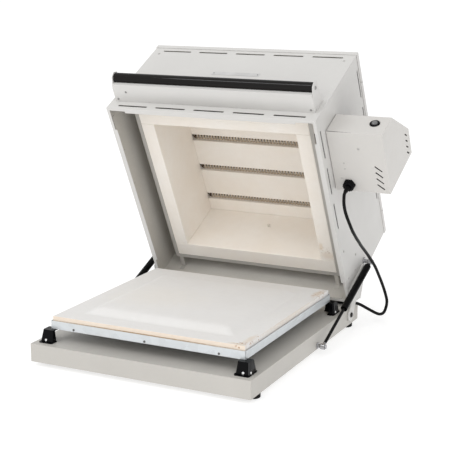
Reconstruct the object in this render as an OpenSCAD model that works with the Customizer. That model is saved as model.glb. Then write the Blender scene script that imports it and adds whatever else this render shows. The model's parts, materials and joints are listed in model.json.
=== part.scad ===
// Table-top bead annealing kiln: a flat hearth on a sheet-metal base pan and a
// square insulated hood that hinges at the rear and is held by two gas springs.
// Millimetres, +Z up. The front of the kiln faces -Y. The hood is drawn closed
// and then turned open about the hinge line.

/* [Base pan] */
// Width of the base pan, left to right
base_w = 650; // [646:1:656]
// Depth of the base pan, front to back
base_d = 748; // [744:1:770]
// Height of the base pan without its rubber feet
base_h = 50; // [48:0.5:51]
// Height of the rubber feet under the base pan
foot_h = 12; // [8:1:14]

/* [Hearth] */
// Width of the galvanised floor tray
tray_w = 578; // [572:2:584]
// Depth of the galvanised floor tray
tray_d = 567; // [561:2:571]
// Height of the tray wall
tray_h = 22.5; // [20:0.5:24]
// Height of the black plastic corner feet under the tray
leg_h = 33.5; // [33:0.1:34]
// Level of the hearth slab's upper face above the base bottom
slab_top = 118; // [114:0.5:118]
// Height of the raised centre panel on the slab
panel_h = 14; // [8:1:16]

/* [Hood] */
// Width of the hood over its side walls
hood_w = 643; // [640:1:644]
// Depth of the hood over its front and rear walls
hood_d = 640; // [636:1:642]
// Height of the hood from the rim to the top of the cover
hood_h = 346; // [340:1:380]
// Thickness of the folded sheet metal
sheet = 1.5; // [1:0.1:2]
// Opening angle of the hood as drawn
open_deg = 63.2; // [62.8:0.1:63.6]
// Number of heating element grooves in the hood's roof board
elements = 4; // [2:1:4]

/* [Cavity] */
// Inside width of the kiln cavity
cav_w = 448; // [446:1:456]
// Inside depth of the kiln cavity
cav_d = 449; // [447:1:452]
// Inside height of the kiln cavity
cav_h = 183; // [150:1:186]

/* [Handle] */
// Diameter of the handle tube
handle_dia = 30; // [26:1:32]
// Distance from the front wall to the handle's axis
handle_reach = 61; // [56:1:66]

/* [Gas springs] */
// Diameter of the gas spring cylinder
spring_dia = 20; // [20:0.5:22]
// Diameter of the piston rod
rod_dia = 9; // [8:0.5:9]

/* [Mains lead] */
// Diameter of the mains lead
cord_dia = 9; // [8:0.5:10]

/* [Hidden] */
$fn = 48;

// the hinge line, in the closed frame (y, z)
piv_y = 678; piv_z = 31;
// closed hood: front wall face, rim and top
yc = 12; zc = 54; hq = hood_w/2; yr = yc + hood_d; zt = zc + hood_h;
// tray
ty = 46; tz = base_h + leg_h; tq = tray_w/2;
// insulation
iq = 266; iy0 = 66; iy1 = 600; iz0 = 118.6;
cq = cav_w/2; cy0 = 106; cy1 = cy0 + cav_d; cz = iz0 + cav_h;
roof_top = zt - 20;
// gas spring studs: base stud fixed, hood stud in the closed frame
bs = [428, 11]; hs = [614, 201]; sx = 342;
function op(p) = let(c = cos(open_deg), s = sin(open_deg), a = p[0] - piv_y, b = p[1] - piv_z)
  [piv_y + a*c + b*s, piv_z - a*s + b*c];
hso = op(hs);
spring_len = norm(hso - bs);
spring_ang = atan2(hso[1] - bs[1], hso[0] - bs[0]);
tube_end = 234; tube_bore0 = 58; rod_tip = 190; ex = 14;
// control box: closed cross-section (y, z), and where it stands on the side wall
box = [[76, 100], [76, 184], [189, 297], [270, 297], [270, 100]];
box_x1 = 481; box_x0 = hq + 1.7; t15 = sheet;
boxin = [[76 + t15, 100 + t15], [76 + t15, 184 - t15*tan(22.5)], [189 + t15*tan(22.5), 297 - t15], [270 - t15, 297 - t15], [270 - t15, 100 + t15]];
boxbk = [[79, 103], [79, 182.8], [190.2, 294], [267, 294], [267, 103]];
// centre of the sloping panel
pan = [402, 132.5, 240.5];
// cable gland on the box's lower face
gx = 366; gy = 247; gland_z = 83; relief_z = 62;
// whole object placed with the feet on z = 0 and its box centred
ox = -64.5; oy = -498.2; oz = foot_h;

module place() { translate([ox, oy, oz]) children(); }
module opened() { translate([0, piv_y, piv_z]) rotate([-open_deg, 0, 0]) translate([0, -piv_y, -piv_z]) children(); }
module both() { children(); mirror([1, 0, 0]) children(); }
module xcyl(x, y, z, r, l, f = 48) { translate([x, y, z]) rotate([0, 90, 0]) cylinder(r = r, h = l, $fn = f); }
module ycyl(x, y, z, r, l, f = 32) { translate([x, y, z]) rotate([-90, 0, 0]) cylinder(r = r, h = l, $fn = f); }
module xprof(x, l, pts) { translate([x, 0, 0]) rotate([90, 0, 90]) linear_extrude(height = l) polygon(pts); }
module slotx(x, y, z, l, w) { translate([x - l/2 + w/2, y, z - w/2]) cube([l - w, 8, w]); for (s = [-1, 1]) ycyl(x + s*(l - w)/2, y, z, w/2, 8, 24); }
module sloty(x, y, z, l, w) { translate([x, y - l/2 + w/2, z - w/2]) cube([8, l - w, w]); for (s = [-1, 1]) xcyl(x, y + s*(l - w)/2, z, w/2, 8, 24); }
module sheetbox(x0, x1, y0, y1, z0, z1, t) {
  difference() {
    translate([x0, y0, z0]) cube([x1 - x0, y1 - y0, z1 - z0]);
    translate([x0 + t, y0 + t, z0 - 1]) cube([x1 - x0 - 2*t, y1 - y0 - 2*t, z1 - z0 - t + 1]);
  }
}

// ---- base ----------------------------------------------------------------
module base_pan() color([0.79, 0.78, 0.75]) place() difference() {
  union() {
    sheetbox(-base_w/2, base_w/2, 0, base_d, 0, base_h, sheet);
    // returned lower edge
    difference() {
      translate([-base_w/2, 0, 0]) cube([base_w, base_d, sheet]);
      translate([-base_w/2 + 16, 16, -1]) cube([base_w - 32, base_d - 32, 5]);
    }
  }
  for (s = [-1, 1]) xcyl(s > 0 ? base_w/2 - 6 : -base_w/2 - 6, piv_y, piv_z, 5.1, 12);
}
module base_feet() color([0.06, 0.06, 0.06]) place()
  for (x = [-306, 306], y = [54, 700]) translate([x, y, -foot_h]) cylinder(r1 = 18.8, r2 = 18.8, h = foot_h, $fn = 48);
module floor_tray() color([0.83, 0.85, 0.86]) place() difference() {
  translate([-tq, ty, tz]) cube([tray_w, tray_d, tray_h]);
  translate([-tq + 1.2, ty + 1.2, tz + 1.2]) cube([tray_w - 2.4, tray_d - 2.4, tray_h]);
}
module tray_screws() color([0.75, 0.75, 0.76]) place() for (x = [-217, 0, 217]) {
  ycyl(x, ty - 1.8, tz + 5.5, 3, 1.8);
  translate([-x, ty + tray_d, tz + 5.5]) rotate([-90, 0, 0]) cylinder(r = 3, h = 1.8, $fn = 32);
}
module pad(w, d, r) { square([w - 2*r, d], center = true); square([w, d - 2*r], center = true); for (a = [-1, 1], b = [-1, 1]) translate([a*(w/2 - r), b*(d/2 - r)]) circle(r = r, $fn = 24); }
// flange on the pan, and a tapering corner guard above it that carries the tray
module leg(fy, by) difference() {
  union() {
    translate([290, fy, base_h]) linear_extrude(height = 3) pad(42, 53, 5);
    hull() {
      translate([290, by, base_h + 3]) linear_extrude(height = 0.5) pad(39, 44, 5);
      translate([289.5, ty + tray_d/2 + (by - ty - tray_d/2)*0.9965, tz - 0.5]) linear_extrude(height = 0.5) pad(32, 30, 4);
    }
  }
  // open inner corner under the top plate
  translate([260, fy < 300 ? 41 : 577, base_h - 1]) cube([31, 41, tz - base_h - 2.5]);
}
module corner_feet() color([0.05, 0.05, 0.05]) place() both() { leg(43.5, 46); leg(612.5, 613); }
// two bright screws in each corner foot, square to its leaning outer faces
module foot_screw() translate([0, 0, 0.1]) cylinder(r = 3, h = 1.5, $fn = 24);
module corner_foot_screws() color([0.8, 0.8, 0.8]) place() both() {
  lean_y = atan2(8, tz - base_h - 3.5); lean_x = atan2(4, tz - base_h - 3.5); up = 3.5;
  translate([292, 24 + up*tan(lean_y), base_h + 7]) rotate([90 - lean_y, 0, 0]) foot_screw();
  translate([292, 635 - up*tan(lean_y), base_h + 7]) rotate([lean_y - 90, 0, 0]) foot_screw();
  for (y = [34, 605]) translate([309.5 - up*tan(lean_x), y, base_h + 7]) rotate([0, 90 - lean_x, 0]) foot_screw();
}
module hearth_slab() color([0.87, 0.86, 0.84]) place()
  translate([-tq + 4, ty + 4, tz + 1.3]) cube([tray_w - 8, tray_d - 8, slab_top - tz - 1.3]);
module hearth_panel() color([0.88, 0.87, 0.85]) place()
  translate([-cq + 3, cy0 + 4, slab_top]) cube([cav_w - 6, cav_d - 18, panel_h]);
module hinge_brackets() color([0.75, 0.75, 0.76]) place() both() difference() {
  translate([base_w/2 - sheet - 6, piv_y - 27, 6]) cube([6, 54, 40]);
  xcyl(base_w/2 - 20, piv_y, piv_z, 5.1, 30);
}
module hinge_pins() color([0.08, 0.08, 0.08]) place() both() {
  xcyl(base_w/2 - 9, piv_y, piv_z, 5, 15);
  xcyl(base_w/2 + 5.6, piv_y, piv_z, 7.5, 4);
  xcyl(base_w/2 - 13.5, piv_y, piv_z, 8, 5.4, 6);
}
module base_spring_studs() color([0.72, 0.73, 0.74]) place() both() {
  xcyl(base_w/2, bs[0], bs[1], 9.5, 3, 6);
  xcyl(base_w/2 + 3, bs[0], bs[1], 6, 6);
  xcyl(base_w/2 + 8, bs[0], bs[1], 4, 18);
  xcyl(sx + 7.2, bs[0], bs[1], 6, 2.6);
}

// ---- gas springs, drawn in their own line from stud to stud ----------------
module from_base(side) place() mirror([side < 0 ? 1 : 0, 0, 0]) translate([sx, bs[0], bs[1]]) rotate([spring_ang, 0, 0]) children();
module from_hood(side) place() mirror([side < 0 ? 1 : 0, 0, 0]) translate([sx, hso[0], hso[1]]) rotate([spring_ang + 180, 0, 0]) children();
module socket() difference() {
  union() { xcyl(-6.5, 0, 0, 8.5, 13); ycyl(0, 0, 0, 5.5, ex - 0.2); }
  xcyl(-20, 0, 0, 4.05, 40);
}
module rod() ycyl(0, ex, 0, rod_dia/2, rod_tip - ex, 48);
module tube() difference() {
  union() {
    ycyl(0, ex, 0, 5.5, 6, 48);
    translate([0, ex + 4, 0]) rotate([-90, 0, 0]) cylinder(r1 = 7, r2 = spring_dia/2, h = 5);
    ycyl(0, ex + 8, 0, spring_dia/2, tube_end - ex - 8, 64);
  }
  ycyl(0, tube_bore0, 0, spring_dia/2 - 1.7, 300, 64);
}
module spring_rod_right() color([0.1, 0.1, 0.1]) from_base(1) rod();
module spring_rod_left() color([0.1, 0.1, 0.1]) from_base(-1) rod();
module rod_socket_right() color([0.72, 0.73, 0.74]) from_base(1) socket();
module rod_socket_left() color([0.72, 0.73, 0.74]) from_base(-1) socket();
module spring_tube_right() color([0.06, 0.06, 0.06]) from_hood(1) tube();
module spring_tube_left() color([0.06, 0.06, 0.06]) from_hood(-1) tube();
module tube_socket_right() color([0.72, 0.73, 0.74]) from_hood(1) socket();
module tube_socket_left() color([0.72, 0.73, 0.74]) from_hood(-1) socket();
module hood_spring_studs() color([0.72, 0.73, 0.74]) place() opened() both() {
  xcyl(hq, hs[0], hs[1], 11, 4);
  xcyl(hq + 4, hs[0], hs[1], 6, 8);
  xcyl(hq + 11, hs[0], hs[1], 4, sx - hq - 2);
  xcyl(sx + 7.2, hs[0], hs[1], 6, 2.6);
}

// ---- hood -------------------------------------------------------------------
module hood_shell() color([0.86, 0.86, 0.85]) place() opened() difference() {
  union() {
    difference() {
      translate([-hq, yc, zc]) cube([hood_w, hood_d, hood_h - 1.7]);
      translate([-hq + sheet, yc + sheet, zc - 1]) cube([hood_w - 2*sheet, hood_d - 2*sheet, hood_h + 5]);
    }
    // inward hem of the rim
    difference() {
      translate([-hq, yc, zc]) cube([hood_w, hood_d, sheet]);
      translate([-hq + 15, yc + 15, zc - 1]) cube([hood_w - 30, hood_d - 30, 5]);
    // notches that pass the corner feet
    for (x = [-hq + 9, hq - 59.5], y = [yc + 9, yr - 75]) translate([x, y, zc - 1]) cube([50.5, 66, 5]);
    }
  }
  // ventilation slots, front and rear walls
  for (i = [-2:2], z = [zc + 15.5, zt - 31]) { slotx(i*121, yc - 3, z, 94, 6.4); slotx(i*121, yr - 4, z, 94, 6.4); }
  // ventilation slots, side walls
  for (i = [0:2]) { sloty(hq - 4, yc + 88.5 + i*121.5, zc + 18, 90, 6.4); sloty(-hq - 4, yc + 88.5 + i*121.5, zc + 18, 90, 6.4); }
  for (i = [0:3]) { sloty(hq - 4, yc + 88.5 + i*121.5, zt - 26, 90, 6.4); sloty(-hq - 4, yc + 88.5 + i*121.5, zt - 26, 90, 6.4); }
}
module roof_cover() color([0.84, 0.84, 0.83]) place() opened()
  sheetbox(-hq - 1.7, hq + 1.7, yc - 1.7, yr + 1.7, zt - 15, zt, sheet);
module hood_screws() color([0.6, 0.6, 0.6]) place() opened() {
  for (s = [-1, 1]) {
    ycyl(s*297, yc - 1.6, zt - 48, 3.4, 1.6);
    ycyl(s*297, yr, zt - 48, 3.4, 1.6);
  }
  both() {
    for (p = [[475, 77], [548, 152], [577, 77], [590, 130]]) xcyl(hq, p[0], p[1], 3.6, 1.6, 32);
    for (y = [104, 569]) xcyl(hq + 1.7, y, zt - 8, 2.8, 1.6, 32);
  }
}
module arm() difference() {
  union() {
    xprof(base_w/2 + 1.2, 4, [[660, 33], [650, 52], [608, 60], [606, 180], [640, 180], [656, 152], [686, 116], [668, 80.5], [697, 36]]);
    xcyl(base_w/2 + 1.2, piv_y, piv_z, 19, 4, 64);
    xprof(hq, base_w/2 + 1.2 - hq, [[610, 62], [610, 178], [638, 178], [646, 160], [650, 62]]);
  }
  xcyl(base_w/2 - 5, piv_y, piv_z, 5.05, 20);
}
module hinge_arm_right() color([0.78, 0.78, 0.76]) place() opened() arm();
module hinge_arm_left() color([0.78, 0.78, 0.76]) place() opened() mirror([1, 0, 0]) arm();

// ---- insulation and heating ------------------------------------------------
module insulation_front() color([0.9, 0.87, 0.83]) place() opened() translate([-iq, iy0, iz0]) cube([2*iq, cy0 - iy0, cz - iz0]);
module insulation_rear() color([0.9, 0.87, 0.83]) place() opened() difference() {
  translate([-iq, cy1, iz0]) cube([2*iq, iy1 - cy1, cz - iz0]);
  ycyl(3, cy1 - 5, 244, 4.2, 80);
}
module side_board() translate([cq, cy0 + 0.2, iz0]) cube([iq - cq, cy1 - cy0 - 0.4, cz - iz0]);
module insulation_right() color([0.9, 0.87, 0.83]) place() opened() side_board();
module insulation_left() color([0.9, 0.87, 0.83]) place() opened() mirror([1, 0, 0]) side_board();
gpitch = 113; gy0 = (cy0 + cy1)/2 + 2.5 - gpitch*(elements - 1)/2;
module insulation_roof() color([0.9, 0.87, 0.83]) place() opened() difference() {
  translate([-iq, iy0, cz + 0.2]) cube([2*iq, iy1 - iy0, roof_top - cz - 0.2]);
  for (i = [0:elements - 1]) {
    translate([-cq - 4, gy0 + i*gpitch - 11, cz - 1]) cube([cav_w + 8, 22, 22]);
    xcyl(-iq - 5, gy0 + i*gpitch, cz + 11, 3.4, 2*iq + 10, 32);
  }
}
module retaining_frame() color([0.62, 0.61, 0.58]) place() opened() {
  difference() {
    translate([-iq - 1.8, iy0 - 1.8, iz0]) cube([2*iq + 3.6, iy1 - iy0 + 3.6, 38]);
    translate([-iq - 0.3, iy0 - 0.3, iz0 - 1]) cube([2*iq + 0.6, iy1 - iy0 + 0.6, 45]);
  }
  difference() {
    translate([-iq - 12, iy0 - 12, iz0]) cube([2*iq + 24, iy1 - iy0 + 24, sheet]);
    translate([-iq - 0.3, iy0 - 0.3, iz0 - 1]) cube([2*iq + 0.6, iy1 - iy0 + 0.6, 5]);
  }
}
module ytab(y0, y1, yf) { translate([-6.5, y0, iz0 + sheet + 0.1]) cube([13, y1 - y0, sheet]); translate([-6.5, yf, iz0 - 16]) cube([13, sheet, 16 + 2*sheet + 0.1]); }
module frame_tabs() color([0.62, 0.61, 0.58]) place() opened() both()
  translate([262, 0, 0]) { ytab(iy1 + 3, yr - sheet, yr - 2*sheet); ytab(yc + sheet, iy0 - 3, yc + sheet); }
module heating_elements() color([0.35, 0.27, 0.22]) place() opened() for (i = [0:elements - 1]) {
  xcyl(-cq + 2, gy0 + i*gpitch, cz + 11, 9.5, cav_w - 4, 32);
  xcyl(-iq - 18, gy0 + i*gpitch, cz + 11, 2.5, 2*iq + 36, 24);
}
module element_terminals() color([0.85, 0.83, 0.78]) place() opened() both() for (i = [0:elements - 1]) difference() {
  xcyl(iq + 0.3, gy0 + i*gpitch, cz + 11, 9, 13, 32);
  xcyl(iq - 2, gy0 + i*gpitch, cz + 11, 2.8, 20, 24);
}
module thermocouple() color([0.75, 0.7, 0.62]) place() opened() {
  ycyl(3, cy1 - 8, 244, 3.8, iy1 - cy1 + 10);
  translate([-12, iy1 + 2, 232]) cube([30, 18, 24]);
}

// ---- handle, nameplate ------------------------------------------------------
hy = yc - handle_reach + 0; hz = 118;
module handle_tube() color([0.08, 0.07, 0.06]) place() opened() difference() {
  xcyl(-305.4, hy, hz, handle_dia/2, 610.8, 64);
  xcyl(-320, hy, hz, handle_dia/2 - 3, 640, 48);
}
module handle_bracket() color([0.86, 0.86, 0.85]) place() opened() {
  both() {
    xprof(305.8, 2, [[yc, 91], [yc, 152], [yc - 14, 150], [hy + 6, hz + 18.5], [hy - 12, hz + 15], [hy - 19, hz], [hy - 12, hz - 15], [hy, hz - 19], [hy + 20, 91]]);
  }
  translate([-306, hy + 6, 91]) cube([612, yc - hy - 6, 1.8]);
}
module handle_screws() color([0.45, 0.45, 0.45]) place() opened() {
  both() xcyl(307.8, hy, hz, 5, 2.4, 32);
  for (p = [[-266, -20], [-297, 4], [297, 4]]) translate([p[0], p[1], 91 - 1.7]) cylinder(r = 3.2, h = 1.7, $fn = 32);
}
module nameplate() color([0.82, 0.82, 0.81]) place() opened() translate([-75, yc - 0.9, 252]) cube([150, 0.9, 16]);
module nameplate_rivets() color([0.7, 0.7, 0.7]) place() opened() for (x = [-69, 69]) ycyl(x, yc - 1.8, 260, 2, 0.9, 24);

// ---- control box -------------------------------------------------------------
module on_panel(v = [0, 0, 0]) translate(pan) rotate([45, 0, 0]) translate(v) children();
module vent(l, w) translate([-l/2, -w/2, -5]) cube([l, w, 12]);
module control_box_shell() color([0.83, 0.81, 0.79]) place() opened() difference() {
  xprof(box_x0, box_x1 - box_x0, box);
  xprof(box_x0 - 5, box_x1 - box_x0 + 5 - sheet, boxin);
  on_panel([-58, -46, -6]) cube([116, 92, 12]);
  ycyl(445, 60, 150, 11.3, 30, 48);
  translate([gx, gy, 90]) cylinder(r = 12.6, h = 20);
  for (i = [0:3]) translate([456.5, 188.6 + i*20, 100]) rotate([0, 0, 40]) vent(25, 4.2);
  for (i = [0:3]) translate([box_x1, 191 + i*20, 270]) rotate([-45, 0, 0]) rotate([0, 90, 0]) vent(22, 4);
}
module control_box_backplate() color([0.8, 0.8, 0.78]) place() opened() xprof(hq, 4.5, boxbk);
module box_screws() color([0.5, 0.5, 0.5]) place() opened() {
  for (p = [[408, 126, 3.4], [360, 177, 2.2], [360, 196, 2.2], [346, 228, 2.2]]) translate([p[0], p[1], 98.6]) cylinder(r = p[2], h = 1.4, $fn = 24);
  for (a = [-1, 1], b = [-1, 1]) on_panel([a*60, b*53, 2]) cylinder(r = 2.6, h = 1.4, $fn = 24);
}
module control_panel() color([0.2, 0.2, 0.22]) place() opened() on_panel() difference() {
  translate([-66, -58, 0]) cube([132, 116, 2]);
  for (x = [-34, 0, 34]) translate([x, -32, -1]) cylinder(r = 8.4, h = 5);
}
module display_window() color([0.1, 0.02, 0.02]) place() opened() on_panel([-36, 10, 2]) cube([72, 30, 1.4]);
module indicator_lamp() color([0.9, 0.4, 0.05]) place() opened() on_panel([50, 25, 2]) cylinder(r = 3.2, h = 2.6);
module key(x) place() opened() on_panel([x, -32, -3]) { cylinder(r = 8, h = 7.5); cylinder(r = 9.5, h = 2.2); }
module key_down() color([0.75, 0.75, 0.75]) key(-34);
module key_up() color([0.75, 0.75, 0.75]) key(0);
module key_start() color([0.2, 0.5, 0.25]) key(34);
module controller_board() color([0.1, 0.35, 0.2]) place() opened() on_panel([-56, -44, -14]) cube([112, 88, 1.8]);
module power_relay() color([0.15, 0.15, 0.16]) place() opened() translate([hq + 4.6, 200, 200]) cube([40, 46, 60]);
module terminal_block() color([0.85, 0.83, 0.76]) place() opened() translate([hq + 4.6, 180, 125]) cube([18, 70, 22]);
module main_switch_bezel() color([0.05, 0.05, 0.05]) place() opened() difference() {
  union() { ycyl(445, 72.8, 150, 14.5, 3.2, 48); ycyl(445, 75, 150, 11.2, 22, 48); }
  ycyl(445, 60, 150, 9.4, 30, 48);
}
module main_switch_button() color([0.2, 0.2, 0.2]) place() opened() { ycyl(445, 69.5, 150, 9.2, 12, 48); }
module cable_gland() color([0.05, 0.05, 0.05]) place() opened() difference() {
  union() {
    translate([gx, gy, 93]) cylinder(r = 18.4, h = 7, $fn = 6);
    translate([gx, gy, gland_z]) cylinder(r1 = 13, r2 = 15.8, h = 12);
    translate([gx, gy, 98]) cylinder(r = 12.4, h = 14);
    translate([gx, gy, 102.2]) cylinder(r = 17, h = 5, $fn = 6);
  }
  translate([gx, gy, 70]) cylinder(r = 7.1, h = 60);
}
module strain_relief() color([0.05, 0.05, 0.05]) place() opened() {
  translate([gx, gy, relief_z]) cylinder(r1 = cord_dia/2 + 0.7, r2 = 7, h = gland_z - relief_z);
  translate([gx, gy, gland_z]) cylinder(r = 7, h = 24);
}

// ---- mains lead: route points chosen by hand, base frame ---------------------
ge = op([gy, relief_z]);
gd = op([gy, relief_z - 1]) - ge;
drop_route = [[gx, ge[0] + 0.2*gd[0], ge[1] + 0.2*gd[1]], [gx + 1, ge[0] + 10*gd[0], ge[1] + 10*gd[1]],
  [371, 490, 417], [375, 480, 405], [380, 475, 389], [385, 476, 372], [389, 483, 355], [391, 494, 339],
  [391, 510, 323], [390, 530, 308], [387, 554, 293], [384, 580, 278], [380, 608, 262],
  [376, 638, 246], [374, 667, 229], [374, 694, 210], [376, 719, 189], [379, 743, 165], [381, 765, 139],
  [384, 786, 111], [387, 804, 83], [390, 816, 58]];
lead_route = [[391, 816.4, 57], [391.6, 819, 44], [391.6, 817, 32], [391, 809, 21], [390, 799, 14], [387, 785, 12],
  [382, 772, 15], [374, 760, 22], [364, 749, 31], [353, 739, 40], [341, 730, 49], [327, 722, 55.2], [310, 714, 56.5], [292, 709, 55.2], [268, 706, 54.8], [240, 705, 54.7],
  [215, 705, 54.7], [190, 705, 54.7], [167, 706, 54.7], [147, 711, 54.7], [131, 724, 54.9], [124, 743, 56],
  [124, 760, 52], [124, 773, 42.5], [124, 781.5, 28], [124, 789, 13], [124, 801, 0], [124, 819, -6.5],
  [124, 846, -7.2], [124, 872, -7.4]];
function unit(v) = v/norm(v);
function cr(a, b, c, d, t) = 0.5*(2*b + (c - a)*t + (2*a - 5*b + 4*c - d)*t*t + (3*b - a - 3*c + d)*t*t*t);
function spline(p, n) = [for (i = [0:len(p) - 2]) for (k = [0:n - 1]) cr(p[max(i - 1, 0)], p[i], p[i + 1], p[min(i + 2, len(p) - 1)], k/n), p[len(p) - 1]];
function tans(q) = [for (i = [0:len(q) - 1]) unit(q[min(i + 1, len(q) - 1)] - q[max(i - 1, 0)])];
function nrms(t, n0) = [for (i = 0, n = unit(n0 - (n0*t[0])*t[0]); i < len(t); i = i + 1, n = i < len(t) ? unit(n - (n*t[i])*t[i]) : n) n];
module sweep(p, n, r, m, n0) {
  q = spline(p, n); t = tans(q); u = nrms(t, n0);
  pts = [for (i = [0:len(q) - 1]) for (k = [0:m - 1]) q[i] + r*(cos(360*k/m)*u[i] + sin(360*k/m)*cross(t[i], u[i]))];
  e = (len(q) - 1)*m;
  faces = concat([[for (k = [0:m - 1]) k]], [[for (k = [0:m - 1]) e + m - 1 - k]],
    [for (i = [0:len(q) - 2]) for (k = [0:m - 1]) let(a = i*m + k, b = i*m + (k + 1)%m) each [[a, a + m, b + m], [a, b + m, b]]]);
  polyhedron(points = pts, faces = faces, convexity = 10);
}
module cord_drop() color([0.07, 0.07, 0.07]) place() sweep(drop_route, 1, cord_dia/2, 10, [1, 0, 0]);
module cord_lead() color([0.07, 0.07, 0.07]) place() sweep(lead_route, 1, cord_dia/2, 10, [1, 0, 0]);
// the stored length: a flat round coil of two layers on the table
coil = [65.5, 872]; coil_r0 = 45; coil_r1 = 63;
module cord_coil() color([0.07, 0.07, 0.07]) place() translate([coil[0], coil[1], -foot_h]) rotate_extrude($fn = 64)
  translate([coil_r0, 0]) square([coil_r1 - coil_r0, 18]);
module mains_plug() color([0.08, 0.08, 0.08]) place() translate([2, 930.5, -foot_h + 18.5]) rotate([0, -90, 0]) {
  cylinder(r = 18.5, h = 36);
  translate([0, 0, -16]) cylinder(r1 = 9, r2 = 18.5, h = 16);
  translate([0, 0, -34]) cylinder(r1 = 5.6, r2 = 9, h = 18);
  for (s = [-1, 1]) translate([0, s*9.5, 36]) cylinder(r = 2.4, h = 19, $fn = 24);
}

base_pan();
base_feet();
floor_tray();
tray_screws();
corner_feet();
corner_foot_screws();
hearth_slab();
hearth_panel();
hinge_brackets();
hinge_pins();
base_spring_studs();
spring_rod_right();
spring_rod_left();
rod_socket_right();
rod_socket_left();
spring_tube_right();
spring_tube_left();
tube_socket_right();
tube_socket_left();
hood_spring_studs();
hood_shell();
roof_cover();
hood_screws();
hinge_arm_right();
hinge_arm_left();
insulation_front();
insulation_rear();
insulation_left();
insulation_right();
insulation_roof();
retaining_frame();
frame_tabs();
heating_elements();
element_terminals();
thermocouple();
handle_tube();
handle_bracket();
handle_screws();
nameplate();
nameplate_rivets();
control_box_shell();
control_box_backplate();
box_screws();
control_panel();
display_window();
indicator_lamp();
key_up();
key_down();
key_start();
controller_board();
power_relay();
terminal_block();
main_switch_bezel();
main_switch_button();
cable_gland();
strain_relief();
cord_drop();
cord_lead();
cord_coil();
mains_plug();
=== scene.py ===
import bpy, bmesh, json, math, random
from math import sin, cos, pi, radians, sqrt, atan
from mathutils import Vector, Matrix


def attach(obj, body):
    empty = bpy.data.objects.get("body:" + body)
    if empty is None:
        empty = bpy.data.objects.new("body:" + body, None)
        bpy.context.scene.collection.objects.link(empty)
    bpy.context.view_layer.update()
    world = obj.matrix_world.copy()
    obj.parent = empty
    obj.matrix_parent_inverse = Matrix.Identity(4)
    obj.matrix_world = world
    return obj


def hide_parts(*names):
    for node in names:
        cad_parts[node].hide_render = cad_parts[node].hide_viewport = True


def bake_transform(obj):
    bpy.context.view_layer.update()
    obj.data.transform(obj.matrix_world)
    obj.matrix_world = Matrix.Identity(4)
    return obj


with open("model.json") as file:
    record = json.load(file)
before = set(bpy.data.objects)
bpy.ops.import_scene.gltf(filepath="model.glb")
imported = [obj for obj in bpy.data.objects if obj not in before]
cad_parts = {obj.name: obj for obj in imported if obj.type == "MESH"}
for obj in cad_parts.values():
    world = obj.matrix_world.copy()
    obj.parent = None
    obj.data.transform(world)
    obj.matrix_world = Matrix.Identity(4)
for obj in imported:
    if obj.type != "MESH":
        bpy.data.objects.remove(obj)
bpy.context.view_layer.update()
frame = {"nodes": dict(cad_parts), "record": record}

N = frame["nodes"]
random.seed(7)

# ------------------------------------------------------------------ frame ----
OX, OY, OZ = -64.5, -498.2, 12.0
OPEN = radians(63.2)
PY, PZ = 678.0, 31.0


def B(x, y, z):
    """A point of the base frame in millimetres, in the row frame."""
    return Vector(((x + OX) / 1000, (y + OY) / 1000, (z + OZ) / 1000))


def op(y, z):
    a, b = y - PY, z - PZ
    return PY + a * cos(OPEN) + b * sin(OPEN), PZ - a * sin(OPEN) + b * cos(OPEN)


def C(x, y, z):
    """A point of the closed hood in millimetres, where it is with the hood open."""
    return B(x, *op(y, z))


def dirc(x, y, z):
    return Vector((x, y * cos(OPEN) + z * sin(OPEN), -y * sin(OPEN) + z * cos(OPEN)))


def frame_at(o, z, x=None):
    """A matrix with its origin at o, its Z along z and its X near x."""
    z = Vector(z).normalized()
    x = Vector(x) if x is not None else (Vector((1, 0, 0)) if abs(z.x) < 0.9 else Vector((0, 1, 0)))
    y = z.cross(x).normalized()
    x = y.cross(z).normalized()
    m = Matrix.Identity(4)
    for i, v in enumerate((x, y, z, Vector(o))):
        for k in range(3):
            m[k][i] = v[k]
    return m


# closed hood frame in metres -> row frame
HOOD = Matrix.Translation(B(0, PY, PZ)) @ Matrix.Rotation(-OPEN, 4, "X") @ Matrix.Translation(-Vector((0, PY / 1000, PZ / 1000)))
BASE = Matrix.Translation(B(0, 0, 0))

# ----------------------------------------------------------------- camera ----
CAM_F, YAW, PITCH, ROLL = 94.31, radians(26.4767), radians(12.7840), radians(-0.0823)
back = Vector((sin(YAW) * cos(PITCH), -cos(YAW) * cos(PITCH), sin(PITCH)))
right = (-back).cross(Vector((0, 0, 1))).normalized()
up = right.cross(-back)
r2 = cos(ROLL) * right + sin(ROLL) * up
u2 = -sin(ROLL) * right + cos(ROLL) * up
cam_data = bpy.data.cameras.new("camera")
cam_data.sensor_width = 36
cam_data.lens = CAM_F
cam_data.clip_start, cam_data.clip_end = 0.05, 50
cam = bpy.data.objects.new("camera", cam_data)
bpy.context.scene.collection.objects.link(cam)
m = Matrix.Identity(4)
for i, v in enumerate((r2, u2, back, B(1476.55, -2451.74, 1053.26))):
    for k in range(3):
        m[k][i] = v[k]
cam.matrix_world = m
bpy.context.scene.camera = cam


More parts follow.
